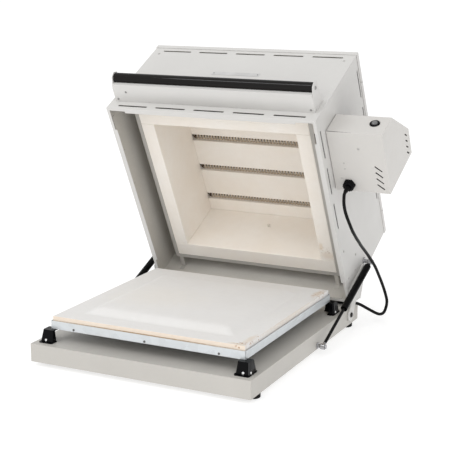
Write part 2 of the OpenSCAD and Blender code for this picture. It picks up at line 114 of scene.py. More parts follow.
# -------------------------------------------------------------- materials ----
class Mat:
    """A small builder of node materials in object coordinates (metres)."""

    def __init__(self, name, metallic=0.0, ior=1.5, coat=0.0, coat_rough=0.1, sheen=0.0, spec=0.5, aniso=0.0):
        self.m = bpy.data.materials.new(name)
        self.m.use_nodes = True
        self.t = self.m.node_tree
        self.n, self.l = self.t.nodes, self.t.links
        self.s = self.n["Principled BSDF"]
        self.s.inputs["Metallic"].default_value = metallic
        self.s.inputs["IOR"].default_value = ior
        self.s.inputs["Coat Weight"].default_value = coat
        self.s.inputs["Coat Roughness"].default_value = coat_rough
        self.s.inputs["Sheen Weight"].default_value = sheen
        self.s.inputs["Specular IOR Level"].default_value = spec
        self.s.inputs["Anisotropic"].default_value = aniso
        self.co = self.n.new("ShaderNodeTexCoord").outputs["Object"]

    def link(self, a, b):
        self.l.new(a, b)

    def map(self, scale=(1, 1, 1), rot=(0, 0, 0), loc=(0, 0, 0), src=None):
        k = self.n.new("ShaderNodeMapping")
        k.inputs["Scale"].default_value = scale
        k.inputs["Rotation"].default_value = rot
        k.inputs["Location"].default_value = loc
        self.link(src or self.co, k.inputs["Vector"])
        return k.outputs["Vector"]

    def noise(self, scale, detail=3, rough=0.55, src=None, dist=0.0):
        k = self.n.new("ShaderNodeTexNoise")
        k.inputs["Scale"].default_value = scale
        k.inputs["Detail"].default_value = detail
        k.inputs["Roughness"].default_value = rough
        k.inputs["Distortion"].default_value = dist
        self.link(src or self.co, k.inputs["Vector"])
        return k.outputs["Fac"]

    def voronoi(self, scale, feature="F1", src=None, out="Distance", rand=1.0):
        k = self.n.new("ShaderNodeTexVoronoi")
        k.feature = feature
        k.inputs["Scale"].default_value = scale
        k.inputs["Randomness"].default_value = rand
        self.link(src or self.co, k.inputs["Vector"])
        return k.outputs[out]

    def ramp(self, src, stops, interp="LINEAR"):
        k = self.n.new("ShaderNodeValToRGB")
        k.color_ramp.interpolation = interp
        el = k.color_ramp.elements
        while len(el) < len(stops):
            el.new(0.5)
        for e, (p, c) in zip(el, stops):
            e.position = p
            e.color = (*c, 1) if len(c) == 3 else c
        self.link(src, k.inputs["Fac"])
        return k.outputs["Color"]

    def rng(self, src, a, b, c, d, smooth=False):
        k = self.n.new("ShaderNodeMapRange")
        if smooth:
            k.interpolation_type = "SMOOTHSTEP"
        for i, v in zip(("From Min", "From Max", "To Min", "To Max"), (a, b, c, d)):
            k.inputs[i].default_value = v
        self.link(src, k.inputs["Value"])
        return k.outputs["Result"]

    def math(self, opn, a, b=None, clamp=False):
        k = self.n.new("ShaderNodeMath")
        k.operation = opn
        k.use_clamp = clamp
        for i, v in enumerate((a, b)):
            if v is None:
                continue
            if isinstance(v, (int, float)):
                k.inputs[i].default_value = v
            else:
                self.link(v, k.inputs[i])
        return k.outputs[0]

    def mix(self, fac, a, b, blend="MIX"):
        k = self.n.new("ShaderNodeMix")
        k.data_type = "RGBA"
        k.blend_type = blend
        for nm, v in ((0, fac), (6, a), (7, b)):
            if isinstance(v, (int, float)):
                k.inputs[nm].default_value = v
            elif isinstance(v, (tuple, list)):
                k.inputs[nm].default_value = (*v, 1)
            else:
                self.link(v, k.inputs[nm])
        return k.outputs[2]

    def axis(self, i):
        """One object coordinate in metres."""
        if not hasattr(self, "xyz"):
            k = self.n.new("ShaderNodeSeparateXYZ")
            self.link(self.co, k.inputs[0])
            self.xyz = k.outputs
        return self.xyz[i]

    def spot(self, centre, radii, src_noise=None, amount=0.5, soft=0.6):
        """A soft blob, 1 in the middle and 0 outside, round a point in metres."""
        k = self.n.new("ShaderNodeVectorMath")
        k.operation = "SUBTRACT"
        self.link(self.co, k.inputs[0])
        k.inputs[1].default_value = centre
        d = self.n.new("ShaderNodeVectorMath")
        d.operation = "DIVIDE"
        self.link(k.outputs[0], d.inputs[0])
        d.inputs[1].default_value = radii
        ln = self.n.new("ShaderNodeVectorMath")
        ln.operation = "LENGTH"
        self.link(d.outputs[0], ln.inputs[0])
        v = ln.outputs["Value"]
        if src_noise is not None:
            v = self.math("ADD", v, self.math("MULTIPLY", self.math("SUBTRACT", src_noise, 0.5), amount * 2))
        return self.rng(v, 1 - soft, 1, 1, 0, True)

    def colour(self, c):
        if isinstance(c, (tuple, list)):
            self.s.inputs["Base Color"].default_value = (*c, 1)
        else:
            self.link(c, self.s.inputs["Base Color"])

    def rough(self, r):
        if isinstance(r, (int, float)):
            self.s.inputs["Roughness"].default_value = r
        else:
            self.link(r, self.s.inputs["Roughness"])

    def bump(self, *pairs):
        """pairs of (height, strength, distance in metres)"""
        last = None
        for h, strength, dist in pairs:
            k = self.n.new("ShaderNodeBump")
            k.inputs["Strength"].default_value = strength
            k.inputs["Distance"].default_value = dist
            self.link(h, k.inputs["Height"])
            if last is not None:
                self.link(last, k.inputs["Normal"])
            last = k.outputs["Normal"]
        self.link(last, self.s.inputs["Normal"])
        return self


def shade(c, f):
    return tuple(min(1, x * f) for x in c)


def enamel(name, c, rough=0.42, grime=0.05, tint_spots=()):
    """Powder coat on sheet steel: fine orange peel, faint cloudiness, light handling marks."""
    k = Mat(name, coat=0.06, coat_rough=0.25, spec=0.35)
    cloud = k.noise(5.5, 4, 0.6)
    speck = k.noise(900, 2, 0.5)
    col = k.mix(k.rng(cloud, 0.3, 0.7, 0, 1), shade(c, 1 - grime), shade(c, 1 + grime * 0.4))
    col = k.mix(k.rng(speck, 0.35, 0.7, 0.0, 0.10), col, shade(c, 0.86))
    streak = k.noise(1.0, 3, 0.6, src=k.map(scale=(28, 28, 4)))
    col = k.mix(k.rng(streak, 0.58, 0.8, 0, 0.16), col, shade(c, 0.9))
    # tinted spots; on the handle bracket the spot is painted shade along the fold
    for centre, radii, tint, amount in tint_spots:
        col = k.mix(k.math("MULTIPLY", k.spot(centre, radii, None, 0.0, 1.0), amount), col, tint)
    k.colour(col)
    k.rough(k.rng(k.noise(14, 3), 0.3, 0.7, rough - 0.06, rough + 0.08))
    k.bump((k.noise(520, 2, 0.5), 0.16, 0.0003), (cloud, 0.1, 0.0012))
    return k.m


def zinc(name, c=(0.66, 0.69, 0.71), rough=0.42, scale=45):
    """Galvanised sheet with a faint, fine spangle."""
    k = Mat(name, metallic=0.7, spec=0.4)
    cell = k.voronoi(scale, out="Color")
    sep = k.n.new("ShaderNodeSeparateColor")
    k.link(cell, sep.inputs["Color"])
    v = sep.outputs[0]
    col = k.ramp(v, [(0, shade(c, 0.95)), (0.5, c), (1, shade(c, 1.04))])
    dull = k.noise(16, 4, 0.6)
    col = k.mix(k.rng(dull, 0.45, 0.75, 0, 0.3), col, shade((0.66, 0.65, 0.62), 0.95))
    k.colour(col)
    k.rough(k.math("ADD", k.rng(v, 0, 1, rough - 0.02, rough + 0.03), k.rng(dull, 0.3, 0.7, -0.02, 0.06)))
    k.bump((k.noise(700, 2), 0.06, 0.0001), (k.noise(30, 3), 0.08, 0.0006))
    return k.m


def plated(name, c=(0.62, 0.62, 0.63), rough=0.3, scale=1400):
    """Plated or bare turned steel with fine tool marks."""
    k = Mat(name, metallic=1.0)
    fine = k.noise(scale, 3, 0.6)
    tarn = k.noise(120, 4, 0.65)
    col = k.mix(k.rng(tarn, 0.4, 0.75, 0, 0.55), c, shade((c[0], c[1] * 0.97, c[2] * 0.9), 0.7))
    k.colour(col)
    k.rough(k.rng(fine, 0.3, 0.7, rough - 0.08, rough + 0.12))
    k.bump((fine, 0.12, 0.00008))
    return k.m


def black_paint(name, c=(0.006, 0.0055, 0.005), rough=0.22, along=None, spec=0.22):
    """Gloss black finish on a tube, with faint lengthwise drawing lines and dust."""
    k = Mat(name, spec=spec)
    src = k.map(scale=along) if along else None
    lines = k.noise(60, 3, 0.6, src=src)
    dust = k.noise(1500, 2, 0.6)
    col = k.mix(k.rng(lines, 0.45, 0.8, 0, 1), c, shade(c, 2.4))
    col = k.mix(k.rng(dust, 0.70, 0.85, 0, 0.06), col, (0.16, 0.15, 0.14))
    k.colour(col)
    k.rough(k.rng(k.noise(40, 3), 0.3, 0.7, rough - 0.05, rough + 0.08))
    k.bump((lines, 0.08, 0.0002), (dust, 0.04, 0.00005))
    return k.m


def plastic(name, c, rough=0.3, grain=0.12, scale=1800, spec=0.5, coat=0.0, dust=0.2):
    """Moulded plastic or rubber: fine grain, slight colour drift, dust in the grain."""
    k = Mat(name, spec=spec, coat=coat, coat_rough=0.12)
    g = k.noise(scale, 2, 0.5)
    drift = k.noise(22, 3, 0.6)
    col = k.mix(k.rng(drift, 0.3, 0.7, 0, 1), shade(c, 0.86), shade(c, 1.1))
    lit = tuple(x * 0.75 + 0.10 for x in c)
    col = k.mix(k.rng(g, 0.6, 0.8, 0, dust), col, lit)
    k.colour(col)
    k.rough(k.rng(drift, 0.3, 0.7, max(0.04, rough - 0.05), rough + 0.08))
    k.bump((g, grain, 0.00012))
    return k.m


def board(name, c, warm, tint_spots=(), specks=(), grain=0.3):
    """Refractory fibre board: chalky, faintly mottled, with soft scorch and rust marks."""
    k = Mat(name, spec=0.2, sheen=0.05)
    big = k.noise(7, 5, 0.6)
    mid = k.noise(45, 4, 0.6)
    fibre = k.noise(1.0, 4, 0.6, src=k.map(scale=(900, 380, 900)))
    pit = k.voronoi(260)
    col = k.mix(k.rng(big, 0.32, 0.68, 0, 1), c, warm)
    col = k.mix(k.rng(mid, 0.4, 0.75, 0, 0.30), col, shade(warm, 0.95))
    col = k.mix(k.rng(fibre, 0.55, 0.8, 0, 0.22), col, shade(c, 0.86))
    col = k.mix(k.rng(pit, 0.0, 0.12, 0.28, 0), col, shade(warm, 0.72))
    rag = k.noise(95, 5, 0.7)
    for centre, radii, tint, amount in tint_spots:
        s = k.spot(centre, radii, rag, 0.55, 0.8)
        col = k.mix(k.math("MULTIPLY", s, amount), col, tint)
    # scattered rust specks inside soft patches
    dots = k.rng(k.voronoi(120), 0.30, 0.45, 1, 0, True)
    pick = k.rng(k.noise(70, 3, 0.6), 0.42, 0.52, 0, 1, True)
    for centre, radii, tint, amount in specks:
        s = k.spot(centre, radii, None, 0.0, 0.9)
        col = k.mix(k.math("MULTIPLY", k.math("MULTIPLY", s, k.math("MULTIPLY", dots, pick)), amount), col, tint)
    k.colour(col)
    k.rough(k.rng(mid, 0.3, 0.7, 0.82, 0.95))
    k.bump((fibre, grain, 0.0003), (pit, 0.14, 0.0005), (big, 0.2, 0.0015))
    return k.m


def rubberish(name, c, rough=0.55):
    k = Mat(name, spec=0.08)
    g = k.noise(2200, 2, 0.5)
    d = k.noise(30, 4, 0.6)
    col = k.mix(k.rng(d, 0.35, 0.7, 0, 1), c, shade(c, 1.7))
    col = k.mix(k.rng(g, 0.66, 0.85, 0, 0.05), col, (0.14, 0.135, 0.13))
    k.colour(col)
    k.rough(k.rng(d, 0.3, 0.7, rough - 0.08, rough + 0.1))
    k.bump((g, 0.15, 0.0001), (d, 0.1, 0.0004))
    return k.m


RUST = (0.50, 0.25, 0.09)
TAN = (0.62, 0.46, 0.30)
M_BASE = enamel("enamel_base", (0.512, 0.492, 0.458), 0.44)
M_HOOD = enamel("enamel_hood", (0.640, 0.628, 0.608), 0.44, 0.03)
M_BOX = enamel("enamel_box", (0.630, 0.611, 0.584), 0.42, 0.03)
M_ZINC = zinc("zinc_sheet")
M_STEEL = plated("bare_steel")
M_BRIGHT = plastic("bright_heads", (0.86, 0.86, 0.86), 0.3, 0.05, 900, spec=0.6, dust=0.05)
M_PAINTED = plastic("painted_heads", (0.50, 0.49, 0.47), 0.4, 0.1, 900, spec=0.4, dust=0.1)
# a lighter copy of the inner steel: painted light on the lit right side of the retaining frame
M_INNER_LIT = enamel("inner_steel_painted_lit", (0.70, 0.67, 0.62), 0.5, 0.06)
M_DARKHEAD = plastic("dark_heads", (0.13, 0.125, 0.12), 0.4, 0.1, 900, spec=0.4, dust=0.1)
M_BRACKETHEAD = plastic("bracket_heads", (0.30, 0.295, 0.285), 0.32, 0.1, 900, spec=0.5, dust=0.05)
M_STUD = plated("stud_steel", (0.44, 0.44, 0.455), 0.2, 900)
M_INNER = enamel("inner_steel", (0.455, 0.435, 0.405), 0.5, 0.08)
# near-black sheets that stand in for the shade seen through slots, vents and the lip's gap: painted shade
M_SHADE_SHEET = plastic("painted_gap_shade", (0.016, 0.015, 0.014), 0.85, 0.3, 600, spec=0.05, dust=0.1)
M_BLACK = black_paint("black_steel")
M_HANDLE = black_paint("handle_black", (0.005, 0.004, 0.0035), 0.09, along=(0.05, 14, 14), spec=0.17)
M_TUBE = black_paint("spring_black", (0.003, 0.003, 0.003), 0.16, spec=0.05)
M_ROD = black_paint("rod_black", (0.004, 0.004, 0.004), 0.14, spec=0.10)
M_FOOT = plastic("black_plastic", (0.002, 0.002, 0.0025), 0.12, 0.04, 900, spec=0.09, dust=0.01)
# a lighter, glossier black for the painted highlights on the corner feet
M_FOOT_HIGHLIGHT = plastic("black_plastic_painted_highlight", (0.045, 0.045, 0.047), 0.2, 0.05, 900, spec=0.5, dust=0.1)
M_RUBBER = rubberish("black_rubber", (0.006, 0.006, 0.006))
M_CORD = rubberish("cord_jacket", (0.005, 0.005, 0.005), 0.40)
M_PLUG = plastic("plug_plastic", (0.008, 0.008, 0.009), 0.42, 0.25, 1500, spec=0.3, dust=0.04)
M_CERAMIC = plastic("porcelain", (0.72, 0.68, 0.60), 0.5, 0.15, 700, dust=0.1)
M_PLATE = plastic("plate_metal", (0.56, 0.555, 0.545), 0.34, 0.05, 500, spec=0.5, dust=0.05)
M_PANEL = plastic("panel_dark", (0.030, 0.034, 0.040), 0.42, 0.3, 2600, spec=0.3, dust=0.06)
M_WINDOW = plastic("display_red", (0.030, 0.004, 0.004), 0.08, 0.02, 900, coat=0.5, dust=0.02)
M_LAMP = plastic("lamp_amber", (0.75, 0.26, 0.03), 0.14, 0.03, 900, coat=0.7, dust=0.03)
M_KEY = plastic("key_grey", (0.36, 0.36, 0.37), 0.4, 0.2, 2200, dust=0.1)
M_BUTTON = plastic("button_grey", (0.13, 0.13, 0.13), 0.18, 0.08, 1600, coat=0.4, dust=0.06)
M_KEYG = plastic("key_green", (0.05, 0.22, 0.08), 0.38, 0.2, 2200, dust=0.1)
M_PCB = plastic("circuit_board", (0.03, 0.15, 0.06), 0.35, 0.2, 1200, coat=0.3, dust=0.1)
M_RELAY = plastic("relay_plastic", (0.03, 0.03, 0.033), 0.4, 0.2, 1500, dust=0.1)


def inner_wall(name):
    """The unpainted inside of the hood's sheet, dulled and browned by heat."""
    k = Mat(name, spec=0.3)
    big, fine = k.noise(6, 4, 0.6), k.noise(160, 4, 0.6)
    col = k.mix(k.rng(big, 0.3, 0.7, 0, 1), (0.560, 0.537, 0.492), (0.640, 0.616, 0.572))
    col = k.mix(k.rng(fine, 0.4, 0.8, 0, 0.2), col, (0.45, 0.42, 0.37))
    k.colour(col)
    k.rough(k.rng(big, 0.3, 0.7, 0.42, 0.6))
    k.bump((fine, 0.06, 0.0002))
    return k.m


M_WALL = inner_wall("inner_wall")


def wire_mat(name):
    k = Mat(name, metallic=0.2, spec=0.3)
    g = k.noise(380, 4, 0.6)
    k.colour(k.ramp(g, [(0.25, (0.56, 0.45, 0.33)), (0.55, (0.72, 0.60, 0.46)), (0.8, (0.80, 0.70, 0.57))]))
    k.rough(k.rng(g, 0.3, 0.7, 0.5, 0.75))
    k.bump((g, 0.3, 0.0002))
    return k.m


M_WIRE = wire_mat("element_wire")
# darker brown for the element leads and first turns, and painted shade on the rear half of each coil
M_WIRE_DARK = plastic("element_leads_and_rear_shade", (0.115, 0.080, 0.052), 0.6, 0.3, 900, spec=0.15, dust=0.1)


# ---------------------------------------------------------------- meshes -----
def add(name, bm, mat, body, m=None, sharp=38, smooth=True, wn=True):
    me = bpy.data.meshes.new(name)
    if m is not None:
        bm.transform(m)
    bm.normal_update()
    for f in bm.faces:
        f.smooth = smooth
    for e in bm.edges:
        if len(e.link_faces) == 2:
            e.smooth = e.calc_face_angle(0) < radians(sharp)
    bm.to_mesh(me)
    bm.free()
    o = bpy.data.objects.new(name, me)
    bpy.context.scene.collection.objects.link(o)
    for mm in (mat if isinstance(mat, (list, tuple)) else [mat]):
        me.materials.append(mm)
    if wn:
        w = o.modifiers.new("normals", "WEIGHTED_NORMAL")
        w.keep_sharp = True
    if body:
        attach(o, body)
    return o


BODY = {}
for bname, members in frame["record"]["behaviour"]["bodies"].items():
    for nn in members:
        BODY[nn] = bname


def stand(o, node):
    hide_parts(node)
    return o


def crisp(node, mat, w=0.7, seg=2, ang=30, minlen=8.0, sharp=50):
    """A copy of a CAD sheet or block with its folded edges rounded."""
    bm = bmesh.new()
    bm.from_mesh(N[node].data)
    bmesh.ops.remove_doubles(bm, verts=bm.verts, dist=2e-6)
    bmesh.ops.dissolve_limit(bm, angle_limit=radians(0.4), verts=bm.verts, edges=bm.edges)
    bm.normal_update()
    hard = {e for e in bm.edges if len(e.link_faces) == 2 and e.calc_face_angle(0) > radians(ang)}
    pick = []
    for e in hard:
        if e.calc_length() * 1000 < minlen:
            continue
        if all(f.calc_length() * 1000 >= minlen * 0.12 or f not in hard for v in e.verts for f in v.link_edges):
            pick.append(e)
    if pick:
        bmesh.ops.bevel(bm, geom=pick, offset=w / 1000, offset_type="OFFSET", segments=seg, profile=0.5, affect="EDGES", clamp_overlap=False)
    o = add(node + "_finish", bm, mat, BODY[node], sharp=sharp)
    return stand(o, node)


def box_bm(bm, x0, x1, y0, y1, z0, z1, w=0.0, seg=2):
    """A box in millimetres with rounded edges, added to bm in metres."""
    r = bmesh.ops.create_cube(bm, size=1)
    vs = r["verts"]
    for v in vs:
        v.co = Vector(((x0 + x1) / 2 + v.co.x * (x1 - x0), (y0 + y1) / 2 + v.co.y * (y1 - y0), (z0 + z1) / 2 + v.co.z * (z1 - z0))) / 1000
    if w:
        es = {e for v in vs for e in v.link_edges}
        bmesh.ops.bevel(bm, geom=list(es), offset=w / 1000, offset_type="OFFSET", segments=seg, profile=0.5, affect="EDGES", clamp_overlap=True)


def lathe_bm(bm, prof, m, segs=40, a0=0.0):
    """Revolves (radius, height) pairs in millimetres about m's Z."""
    rings = []
    for r, h in prof:
        if r < 1e-6:
            rings.append([bm.verts.new(m @ Vector((0, 0, h / 1000)))])
        else:
            rings.append([bm.verts.new(m @ Vector((r / 1000 * cos(2 * pi * k / segs + a0), r / 1000 * sin(2 * pi * k / segs + a0), h / 1000))) for k in range(segs)])
    for a, b in zip(rings, rings[1:]):
        for k in range(segs):
            q = [a[k % len(a)], a[(k + 1) % len(a)], b[(k + 1) % len(b)], b[k % len(b)]]
            out = []
            for v in q:
                if v not in out:
                    out.append(v)
            if len(out) > 2:
                bm.faces.new(out)


def rounded(prof, r, n=3):
    """Rounds the inner corners of a (radius, height) profile."""
    out = [prof[0]]
    for a, b, c in zip(prof, prof[1:], prof[2:]):
        va, vc = Vector(a) - Vector(b), Vector(c) - Vector(b)
        d = min(r, va.length * 0.45, vc.length * 0.45)
        if d < 0.02:
            out.append(b)
            continue
        p, q = Vector(b) + va.normalized() * d, Vector(b) + vc.normalized() * d
        for k in range(n + 1):
            t = k / n
            out.append(tuple(p * (1 - t) ** 2 + Vector(b) * 2 * t * (1 - t) + q * t * t))
    out.append(prof[-1])
    return out


def lathe(name, prof, m, mat, body, segs=40, r=0.6, sharp=40):
    bm = bmesh.new()
    lathe_bm(bm, rounded(prof, r), m, segs)
    bmesh.ops.recalc_face_normals(bm, faces=bm.faces)
    return add(name, bm, mat, body, sharp=sharp)


def hexagon_bm(bm, m, r, h, ch=0.8, bore=0.0):
    """A hexagon nut or bolt head with its turned chamfer, from z 0 to h."""
    segs = 36
    def rad(k, lim):
        a = (2 * pi * k / segs) % (pi / 3)
        return min(lim, r * cos(pi / 6) / cos(a - pi / 6))
    prof = [(r * cos(pi / 6) - 0.1, 0), (r, ch), (r, h - ch), (r * cos(pi / 6) - 0.1, h)]
    rings = []
    for lim, z in prof:
        rings.append([bm.verts.new(m @ Vector((rad(k, lim) / 1000 * cos(2 * pi * k / segs), rad(k, lim) / 1000 * sin(2 * pi * k / segs), z / 1000))) for k in range(segs)])
    for a, b in zip(rings, rings[1:]):
        for k in range(segs):
            bm.faces.new([a[k], a[(k + 1) % segs], b[(k + 1) % segs], b[k]])
    bm.faces.new(rings[-1])
    bm.faces.new(list(reversed(rings[0])))


_screw = {}


def screw_mesh():
    """A pan head, 1 mm radius and 1 high, with a cross recess."""
    if "m" in _screw:
        return _screw["m"]
    bm = bmesh.new()
    prof = [(0, 0), (1, 0), (1, 0.28), (0.95, 0.52), (0.82, 0.75), (0.6, 0.9), (0.34, 0.98), (0, 1.0)]
    lathe_bm(bm, prof, Matrix.Scale(1, 4), 32)
    bmesh.ops.recalc_face_normals(bm, faces=bm.faces)
    me = bpy.data.meshes.new("head")
    bm.to_mesh(me)
    bm.free()
    bm = bmesh.new()
    box_bm(bm, -0.62, 0.62, -0.13, 0.13, 0.5, 1.5)
    me2 = bpy.data.meshes.new("cut1")
    bm.to_mesh(me2)
    bm.free()
    bm = bmesh.new()
    box_bm(bm, -0.13, 0.13, -0.62, 0.62, 0.5, 1.5)
    me3 = bpy.data.meshes.new("cut2")
    bm.to_mesh(me3)
    bm.free()
    objs = [bpy.data.objects.new("tmp", x) for x in (me, me2, me3)]
    for o in objs:
        bpy.context.scene.collection.objects.link(o)
        o.scale = (1000, 1000, 1000)
    for c in objs[1:]:
        k = objs[0].modifiers.new("cut", "BOOLEAN")
        k.operation = "DIFFERENCE"
        k.object = c
        k.solver = "EXACT"
    dg = bpy.context.evaluated_depsgraph_get()
    out = bpy.data.meshes.new_from_object(objs[0].evaluated_get(dg))
    for o in objs:
        bpy.data.objects.remove(o)
    _screw["m"] = out
    return out


def screws(name, places, mat, body, node):
    """Pan heads at (matrix whose Z points out, radius, height)."""
    bm = bmesh.new()
    src = screw_mesh()
    for i, (m, r, h) in enumerate(places):
        tmp = bmesh.new()
        tmp.from_mesh(src)
        tmp.transform(m @ Matrix.Rotation(0.4 + 1.1 * i, 4, "Z") @ Matrix.Diagonal((r, r, h, 1)))
        me = bpy.data.meshes.new("s")
        tmp.to_mesh(me)
        tmp.free()
        bm.from_mesh(me)
        bpy.data.meshes.remove(me)
    o = add(name, bm, mat, body, sharp=42)
    return stand(o, node)


def grid_loft(rings, closed=True, cap=True):
    bm = bmesh.new()
    vs = [[bm.verts.new(p) for p in ring] for ring in rings]
    n = len(vs[0])
    for a, b in zip(vs, vs[1:]):
        for k in range(n if closed else n - 1):
            bm.faces.new([a[k], a[(k + 1) % n], b[(k + 1) % n], b[k]])
    if cap:
        bm.faces.new(list(reversed(vs[0])))
        bm.faces.new(vs[-1])
    bmesh.ops.recalc_face_normals(bm, faces=bm.faces)
    return bm


# ------------------------------------------------------------------ cord -----
CD = 9.0
GX, GY, RZ = 366, 247, 62
ge = Vector((GX, *op(GY, RZ)))
gd = Vector((0, *op(GY, RZ - 1))) - Vector((0, *op(GY, RZ)))
drop = [ge + gd * 0.2, ge + Vector((1, 0, 0)) + gd * 10] + [Vector(p) for p in (
    (371, 490, 417), (375, 480, 405), (380, 475, 389), (385, 476, 372), (389, 483, 355), (391, 494, 339),
    (391, 510, 323), (390, 530, 308), (387, 554, 293), (384, 580, 278), (380, 608, 262),
    (376, 638, 246), (374, 667, 229), (374, 694, 210), (376, 719, 189), (379, 743, 165), (381, 765, 139),
    (384, 786, 111), (387, 804, 83), (390, 816, 58))]
lead = [Vector(p) for p in (
    (391.6, 819, 44), (391.6, 817, 32), (391, 809, 21), (390, 798, 14), (387, 785, 12),
    (382, 772, 15), (374, 760, 22), (364, 749, 31), (353, 739, 40), (341, 730, 49), (327, 722, 55.2),
    (310, 714, 56.5), (292, 709, 55.2), (268, 706, 54.8), (240, 705, 54.7), (215, 705, 54.7), (190, 705, 54.7),
    (167, 706, 54.7), (147, 711, 54.7), (131, 724, 54.9), (124, 743, 56), (124, 760, 52), (124, 773, 42.5),
    (124, 781.5, 28), (124, 789, 13), (124, 801, 0.3), (124, 819, -6.1), (124, 846, -6.9))]
coil_c = Vector((65.5, 872, 0))
turns = []
R_OUT, R_IN, Z_LOW, Z_HIGH = 58.5, 49.5, -7.0, 2.0
# two turns on the table, then one and a quarter on top of them, each a diameter from the next
NT = 24
for i in range(int(3.25 * NT) + 1):
    t = i / NT
    a = 2 * pi * t
    def step(u):
        u = max(0, min(1, u))
        return u * u * (3 - 2 * u)
    s1, s2, s3 = step((t - 0.80) / 0.32), step((t - 1.80) / 0.32), step((t - 2.80) / 0.32)
    r = R_OUT - (R_OUT - R_IN) * s1 + (R_OUT - R_IN) * s3
    z = Z_LOW + (Z_HIGH - Z_LOW) * s2
    turns.append(Vector((coil_c.x + r * cos(a), coil_c.y + r * sin(a), z)))
# the end runs straight off the coil into the plug's grip
tail = [Vector(p) for p in ((56, 930.4, 2.8), (46, 930.5, 4.8), (36, 930.5, 6.2), (26, 930.5, 6.5))]
route = drop + lead + turns + tail


def cr(a, b, c, d, t):
    return 0.5 * (2 * b + (c - a) * t + (2 * a - 5 * b + 4 * c - d) * t * t + (3 * b - a - 3 * c + d) * t ** 3)


def smooth_path(pts, step=3.0):
    fine = []
    for i in range(len(pts) - 1):
        a, b, c, d = pts[max(i - 1, 0)], pts[i], pts[i + 1], pts[min(i + 2, len(pts) - 1)]
        for k in range(8):
            fine.append(cr(a, b, c, d, k / 8))
    fine.append(pts[-1])
    # even spacing
    acc, out, want = 0.0, [fine[0]], step
    for a, b in zip(fine, fine[1:]):
        seg = (b - a).length
        while acc + seg >= want:
            out.append(a.lerp(b, (want - acc) / seg))
            want += step
        acc += seg
    if (out[-1] - fine[-1]).length > 0.5:
        out.append(fine[-1])
    return out, acc


path_mm, cord_len = smooth_path(route, 3.0)


def sweep(pts, rad, sides=14, n0=Vector((1, 0, 0))):
    """A tube along pts (row frame, metres); rad is a function of the index."""
    bm = bmesh.new()
    T = [(pts[min(i + 1, len(pts) - 1)] - pts[max(i - 1, 0)]).normalized() for i in range(len(pts))]
    n = (n0 - T[0] * n0.dot(T[0])).normalized()
    rings = []
    for i, p in enumerate(pts):
        n = (n - T[i] * n.dot(T[i])).normalized()
        b = T[i].cross(n)
        r = rad(i) if callable(rad) else rad
        rings.append([bm.verts.new(p + r * (cos(2 * pi * k / sides) * n + sin(2 * pi * k / sides) * b)) for k in range(sides)])
    for a, b in zip(rings, rings[1:]):
        for k in range(sides):
            bm.faces.new([a[k], a[(k + 1) % sides], b[(k + 1) % sides], b[k]])
    bm.faces.new(list(reversed(rings[0])))
    bm.faces.new(rings[-1])
    bmesh.ops.recalc_face_normals(bm, faces=bm.faces)
    return bm


cord_pts = [B(*p) for p in path_mm]
cord = add("mains_cord", sweep(cord_pts, CD / 2000, 16), M_CORD, None, sharp=60, wn=False)
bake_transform(cord)
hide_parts("cord_drop", "cord_lead", "cord_coil")

# tie round the coil
def tie(angle):
    bm = bmesh.new()
    c = Vector((coil_c.x, coil_c.y, -2.45))
    e = Vector((cos(angle), sin(angle), 0))
    mid = c + e * 54
    pts = []
    for k in range(28):
        a = 2 * pi * k / 28
        q = mid + e * (11.4 * (abs(cos(a)) ** 0.6) * (1 if cos(a) > 0 else -1)) + Vector((0, 0, 1)) * (9.0 * (abs(sin(a)) ** 0.6) * (1 if sin(a) > 0 else -1))
        pts.append(q)
    t = e.cross(Vector((0, 0, 1)))
    rings = []
    for k in range(28):
        o = (pts[k] - mid).normalized()
        rings.append([B(*(pts[k] + t * s * 3.0 + o * d)) for s, d in ((-1, 0), (1, 0), (1, 0.5), (-1, 0.5))])
    vs = [[bm.verts.new(p) for p in r] for r in rings]
    for k in range(28):
        a, b = vs[k], vs[(k + 1) % 28]
        for j in range(4):
            bm.faces.new([a[j], a[(j + 1) % 4], b[(j + 1) % 4], b[j]])
    bmesh.ops.recalc_face_normals(bm, faces=bm.faces)
    return bm


tie_o = add("cord_tie", tie(radians(62)), M_RUBBER, "base", sharp=50)

# plug, with its grip, on the table at the coil's end
pm = frame_at(B(2, 930.5, -12 + 18.5), (-1, 0, 0), (0, 0, 1))
bm = bmesh.new()
prof = [(4.6, -34), (5.2, -33.4)]
for i in range(5):
    z = -32 + i * 3.2
    prof += [(5.4 + i * 0.45, z), (5.4 + i * 0.45, z + 1.7), (4.7 + i * 0.45, z + 1.9), (4.7 + i * 0.45, z + 3.0)]
prof += [(9.0, -15.6), (11.4, -11), (14.6, -5), (17.4, 1.5), (18.3, 6), (18.3, 22), (17.6, 23), (17.6, 24), (18.3, 25), (18.3, 35.3), (17.6, 36), (0, 36)]
lathe_bm(bm, prof, pm, 48)
for s in (-1, 1):
    q = pm @ Matrix.Translation(Vector((0, s * 9.5, 36)) / 1000)
    lathe_bm(bm, [(2.35, -0.5), (2.35, 9.0), (2.35, 17.4), (1.9, 18.6), (0, 19)], q, 20)
bmesh.ops.recalc_face_normals(bm, faces=bm.faces)
plug = add("plug_body", bm, [M_PLUG, M_STEEL], "base", sharp=40)
inv = pm.inverted()
for f in plug.data.polygons:
    c = inv @ f.center
    if c.z > 0.0361 and Vector((c.x, c.y)).length > 0.004:
        f.material_index = 1
stand(plug, "mains_plug")

# ------------------------------------------------------------------ base -----
crisp("base_pan", M_BASE, 0.7, 3)
crisp("hinge_brackets", M_STEEL, 0.6)

bm = bmesh.new()
for x in (-306, 306):
    for y in (54, 700):
        lathe_bm(bm, rounded([(0, -12), (17.6, -12), (18.7, -10.8), (18.7, -0.6), (18.2, 0), (0, 0)], 0.8), BASE @ Matrix.Translation(Vector((x, y, 0)) / 1000), 40)
bmesh.ops.recalc_face_normals(bm, faces=bm.faces)
stand(add("rubber_feet", bm, M_RUBBER, "base"), "base_feet")

